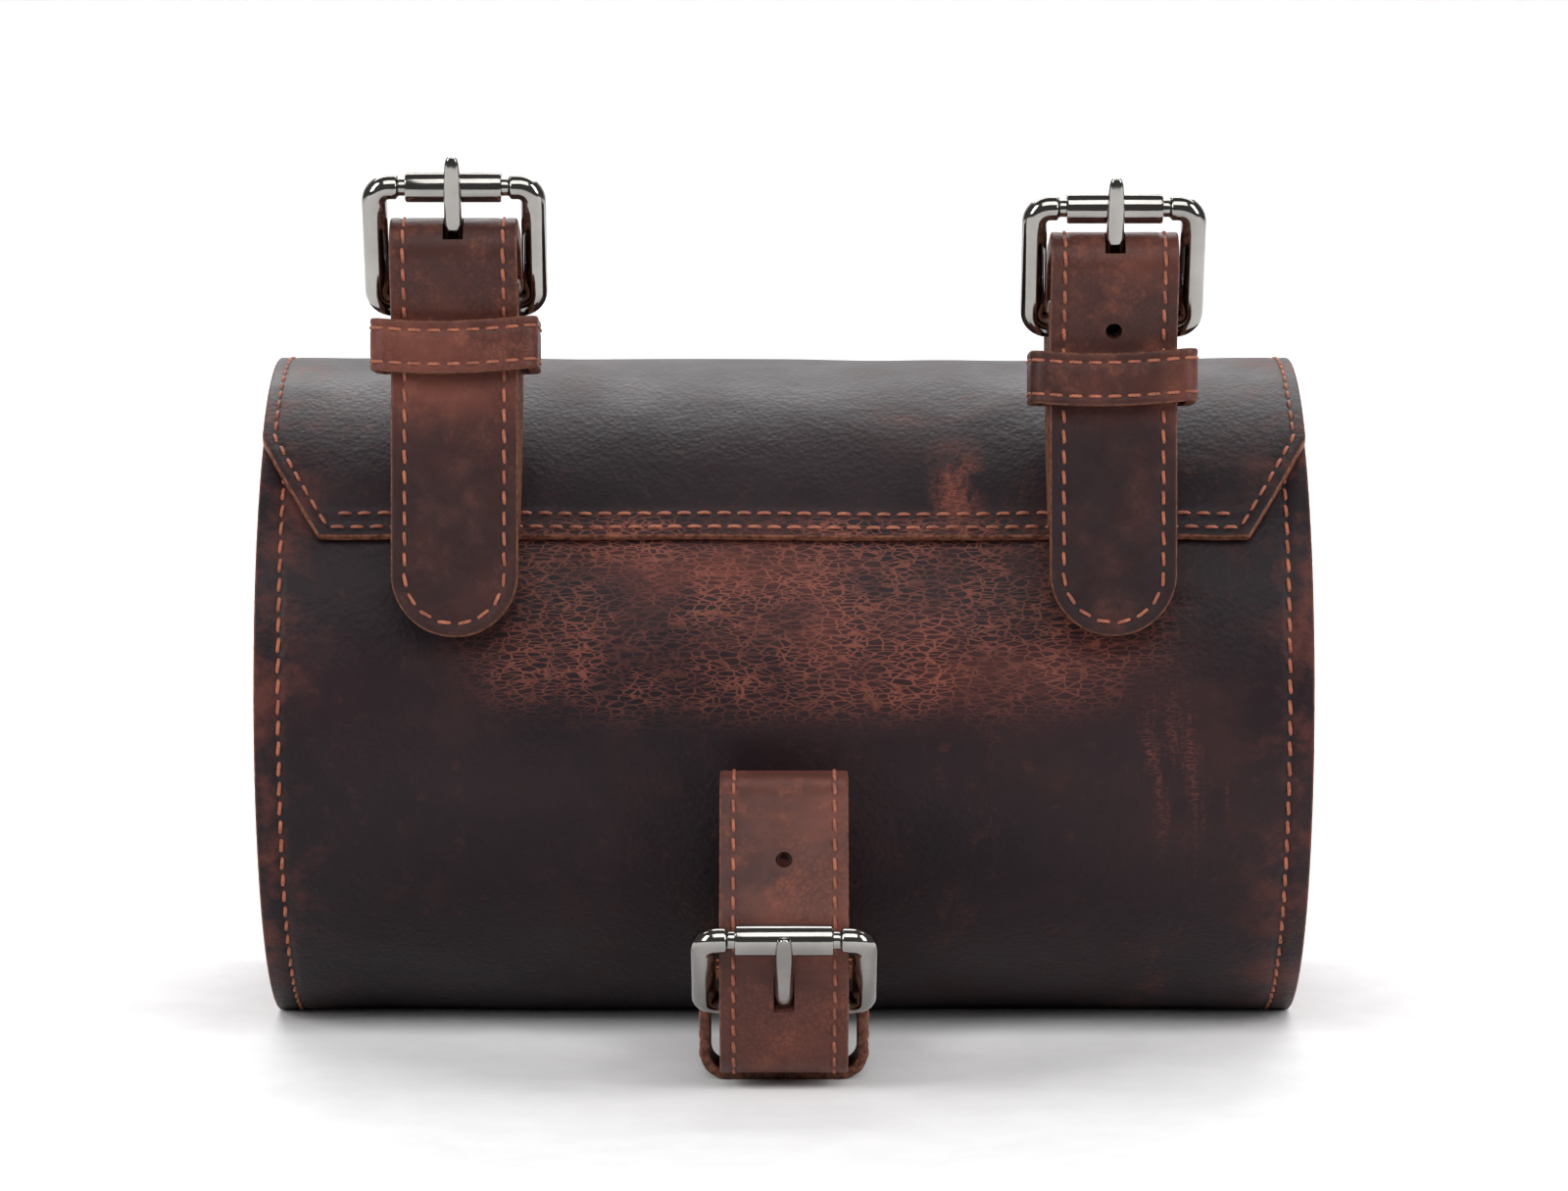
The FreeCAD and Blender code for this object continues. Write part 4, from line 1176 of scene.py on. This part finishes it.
def strap_leather():
    n = Nodes("bridle_leather")
    broad = n.noise(26.0, 5.0, 0.6, distortion=0.5)
    mottle = n.noise(150.0, 7.0, 0.7)
    color = n.mix(n.map(broad, 0.36, 0.68), rgb(60, 33, 29), rgb(98, 54, 44))
    color = n.mix(n.times(n.map(mottle, 0.48, 0.72), 0.45), color, rgb(134, 78, 60))
    # the saddle straps' tongues are darker below their keepers, the right one most
    x, _, z = n.axes()
    lower = n.times(n.map(z, 0.136, 0.124), n.map(n.math("ABSOLUTE", x), 0.03, 0.04))
    dark = n.times(lower, n.map(x, -0.04, 0.04, 0.8, 1.0),
                   n.map(n.noise(60.0, 6.0, 0.65), 0.45, 0.7, 1.0, 0.6))
    color = n.mix(dark, color, rgb(35, 21, 24))
    lines = crack_lines(n, 760.0, (1.0, 1.0, 0.75), 0.2, 0.005)
    grainy = n.map(n.noise(48.0, 5.0, 0.6), 0.38, 0.6)
    color = n.mix(n.times(lines, grainy, 0.4), color, rgb(40, 22, 19))
    color = with_raw_edge(n, color, 800.0, rgb(70, 40, 31), rgb(124, 78, 58))
    roughness = n.map(mottle, 0.3, 0.7, 0.42, 0.58)
    normal = n.bump(lines, 0.0003, -0.7)
    normal = n.bump(n.noise(1300.0, 4.0, 0.6), 0.00012, 0.4, normal)
    normal = n.bump(n.noise(130.0, 7.0, 0.65), 0.0008, 0.35, normal)
    return n.finish(color, roughness, normal, specular=0.25)


def edge_leather():
    n = Nodes("raw_edge")
    fibre = n.noise(650.0, 6.0, 0.75)
    color = n.mix(n.map(fibre, 0.35, 0.65), rgb(74, 46, 36), rgb(140, 92, 68))
    normal = n.bump(fibre, 0.0006, 0.7)
    return n.finish(color, n.map(fibre, 0.3, 0.7, 0.7, 0.9), normal, sheen=0.1, specular=0.3)


def waxed_thread():
    n = Nodes("waxed_thread")
    tone = n.noise(350.0, 4.0, 0.6)
    twist = n.new("ShaderNodeTexWave", {"Vector": n.coords, "Scale": 900.0, "Distortion": 1.5},
                  wave_type="BANDS", bands_direction="DIAGONAL")
    color = n.mix(n.map(tone, 0.35, 0.65), rgb(132, 76, 58), rgb(172, 104, 78))
    color = n.mix(n.times(twist.outputs["Fac"], 0.35), color, rgb(108, 58, 44))
    return n.finish(color, n.map(tone, 0.3, 0.7, 0.5, 0.68),
                    n.bump(twist.outputs["Fac"], 0.00012, 0.6), specular=0.4)


def nickel():
    n = Nodes("polished_nickel")
    haze = n.noise(55.0, 6.0, 0.6)
    scratches = n.noise(420.0, 7.0, 0.7, n.stretched((0.25, 1.0, 1.0)), 0.6)
    color = n.mix(n.map(haze, 0.35, 0.7), rgb(164, 162, 158), rgb(146, 143, 139))
    roughness = n.math("ADD", n.map(haze, 0.3, 0.75, 0.05, 0.12),
                       n.times(n.map(scratches, 0.5, 0.75), 0.1))
    normal = n.bump(scratches, 0.00006, 0.25)
    return n.finish(color, roughness, normal, metallic=1.0)


finishes = {"bag_leather": bag_leather(), "strap_leather": strap_leather(),
            "leather_edge": edge_leather(), "thread": waxed_thread(), "nickel": nickel()}


threads = [obj for obj in strap_pieces if "thread" in obj.name]
for finish, pieces in (
        ("bag_leather", [body, flap] + end_panels),
        ("leather_edge", edge_rings),
        ("strap_leather", [obj for obj in strap_pieces if obj not in threads]),
        ("thread", threads + [barrel_thread, flap_thread]),
        ("nickel", metal_pieces + [cap_pair] + [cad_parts[node] for node in
                                                ("snap_sockets", "snap_studs", "snap_rivets")])):
    for obj in pieces:
        obj.data.materials.clear()
        obj.data.materials.append(finishes[finish])


# Stage, lights and camera.

def sweep():
    """A pale floor that curves up into a backdrop."""
    profile = [(-0.6, 0.0), (0.4, 0.0), (1.2, 0.0)]
    profile += [(1.2 + 0.8 * sin(radians(a)), 0.8 - 0.8 * cos(radians(a)))
                for a in range(10, 91, 10)] + [(2.0, 2.6)]
    verts = [(x / MM, y / MM, z / MM) for y, z in profile for x in (-2.6, 2.6)]
    faces = [(2 * i, 2 * i + 1, 2 * i + 3, 2 * i + 2) for i in range(len(profile) - 1)]
    return new_object("sweep", verts, faces)


floor = sweep()
paper = Nodes("paper")
speck = paper.noise(90.0, 5.0, 0.6)
floor.data.materials.append(paper.finish(
    paper.mix(paper.map(speck, 0.3, 0.7), rgb(238, 237, 238), rgb(243, 242, 243)), 0.85,
    paper.bump(speck, 0.0002, 0.1), specular=0.2))


def softbox(name, location, aim, size, power):
    light = bpy.data.lights.new(name, "AREA")
    light.shape = "RECTANGLE"
    light.size, light.size_y = size
    light.energy = power
    obj = bpy.data.objects.new(name, light)
    obj.location = location
    obj.rotation_euler = (Vector(aim) - Vector(location)).to_track_quat("-Z", "Y").to_euler()
    bpy.context.scene.collection.objects.link(obj)


softbox("top", (0.0, 0.95, 0.95), (0, 0, 0.08), (1.3, 0.3), 11.0)
softbox("front", (0.1, -1.0, 1.2), (0, -0.1, 0.0), (1.4, 0.8), 11.0)
softbox("left", (-1.15, -0.75, 0.75), (0, 0, 0.07), (0.4, 0.9), 12.0)
softbox("right", (1.2, -0.65, 0.7), (0, 0, 0.07), (0.35, 0.9), 11.0)
softbox("back", (0.0, 0.75, 1.7), (0, 1.6, 0.2), (2.8, 0.8), 27.0)

# the background is pale to the camera and dim in reflections
world = bpy.data.worlds.new("studio")
world.use_nodes = True
tree = world.node_tree
background = tree.nodes["Background"]
background.inputs["Color"].default_value = (1.0, 1.0, 1.0, 1.0)
strength = tree.nodes.new("ShaderNodeMapRange")
strength.inputs["To Min"].default_value = 0.1
strength.inputs["To Max"].default_value = 0.9
tree.links.new(tree.nodes.new("ShaderNodeLightPath").outputs["Is Camera Ray"],
               strength.inputs["Value"])
tree.links.new(strength.outputs["Result"], background.inputs["Strength"])
bpy.context.scene.world = world
bpy.context.scene.view_settings.view_transform = "Standard"

CAMERA_DISTANCE = 1.2
camera = bpy.data.cameras.new("camera")
camera.lens = 131.6
camera.sensor_width = 36.0
camera.shift_y = 0.0599
camera.clip_start = 0.05
view = bpy.data.objects.new("camera", camera)
target = Vector((0, 0, ZC * MM))
elevation = radians(9.0)
look = Vector((0, cos(elevation), -sin(elevation)))
view.location = target - look * CAMERA_DISTANCE
view.rotation_euler = look.to_track_quat("-Z", "Y").to_euler()
bpy.context.scene.collection.objects.link(view)
bpy.context.scene.camera = view
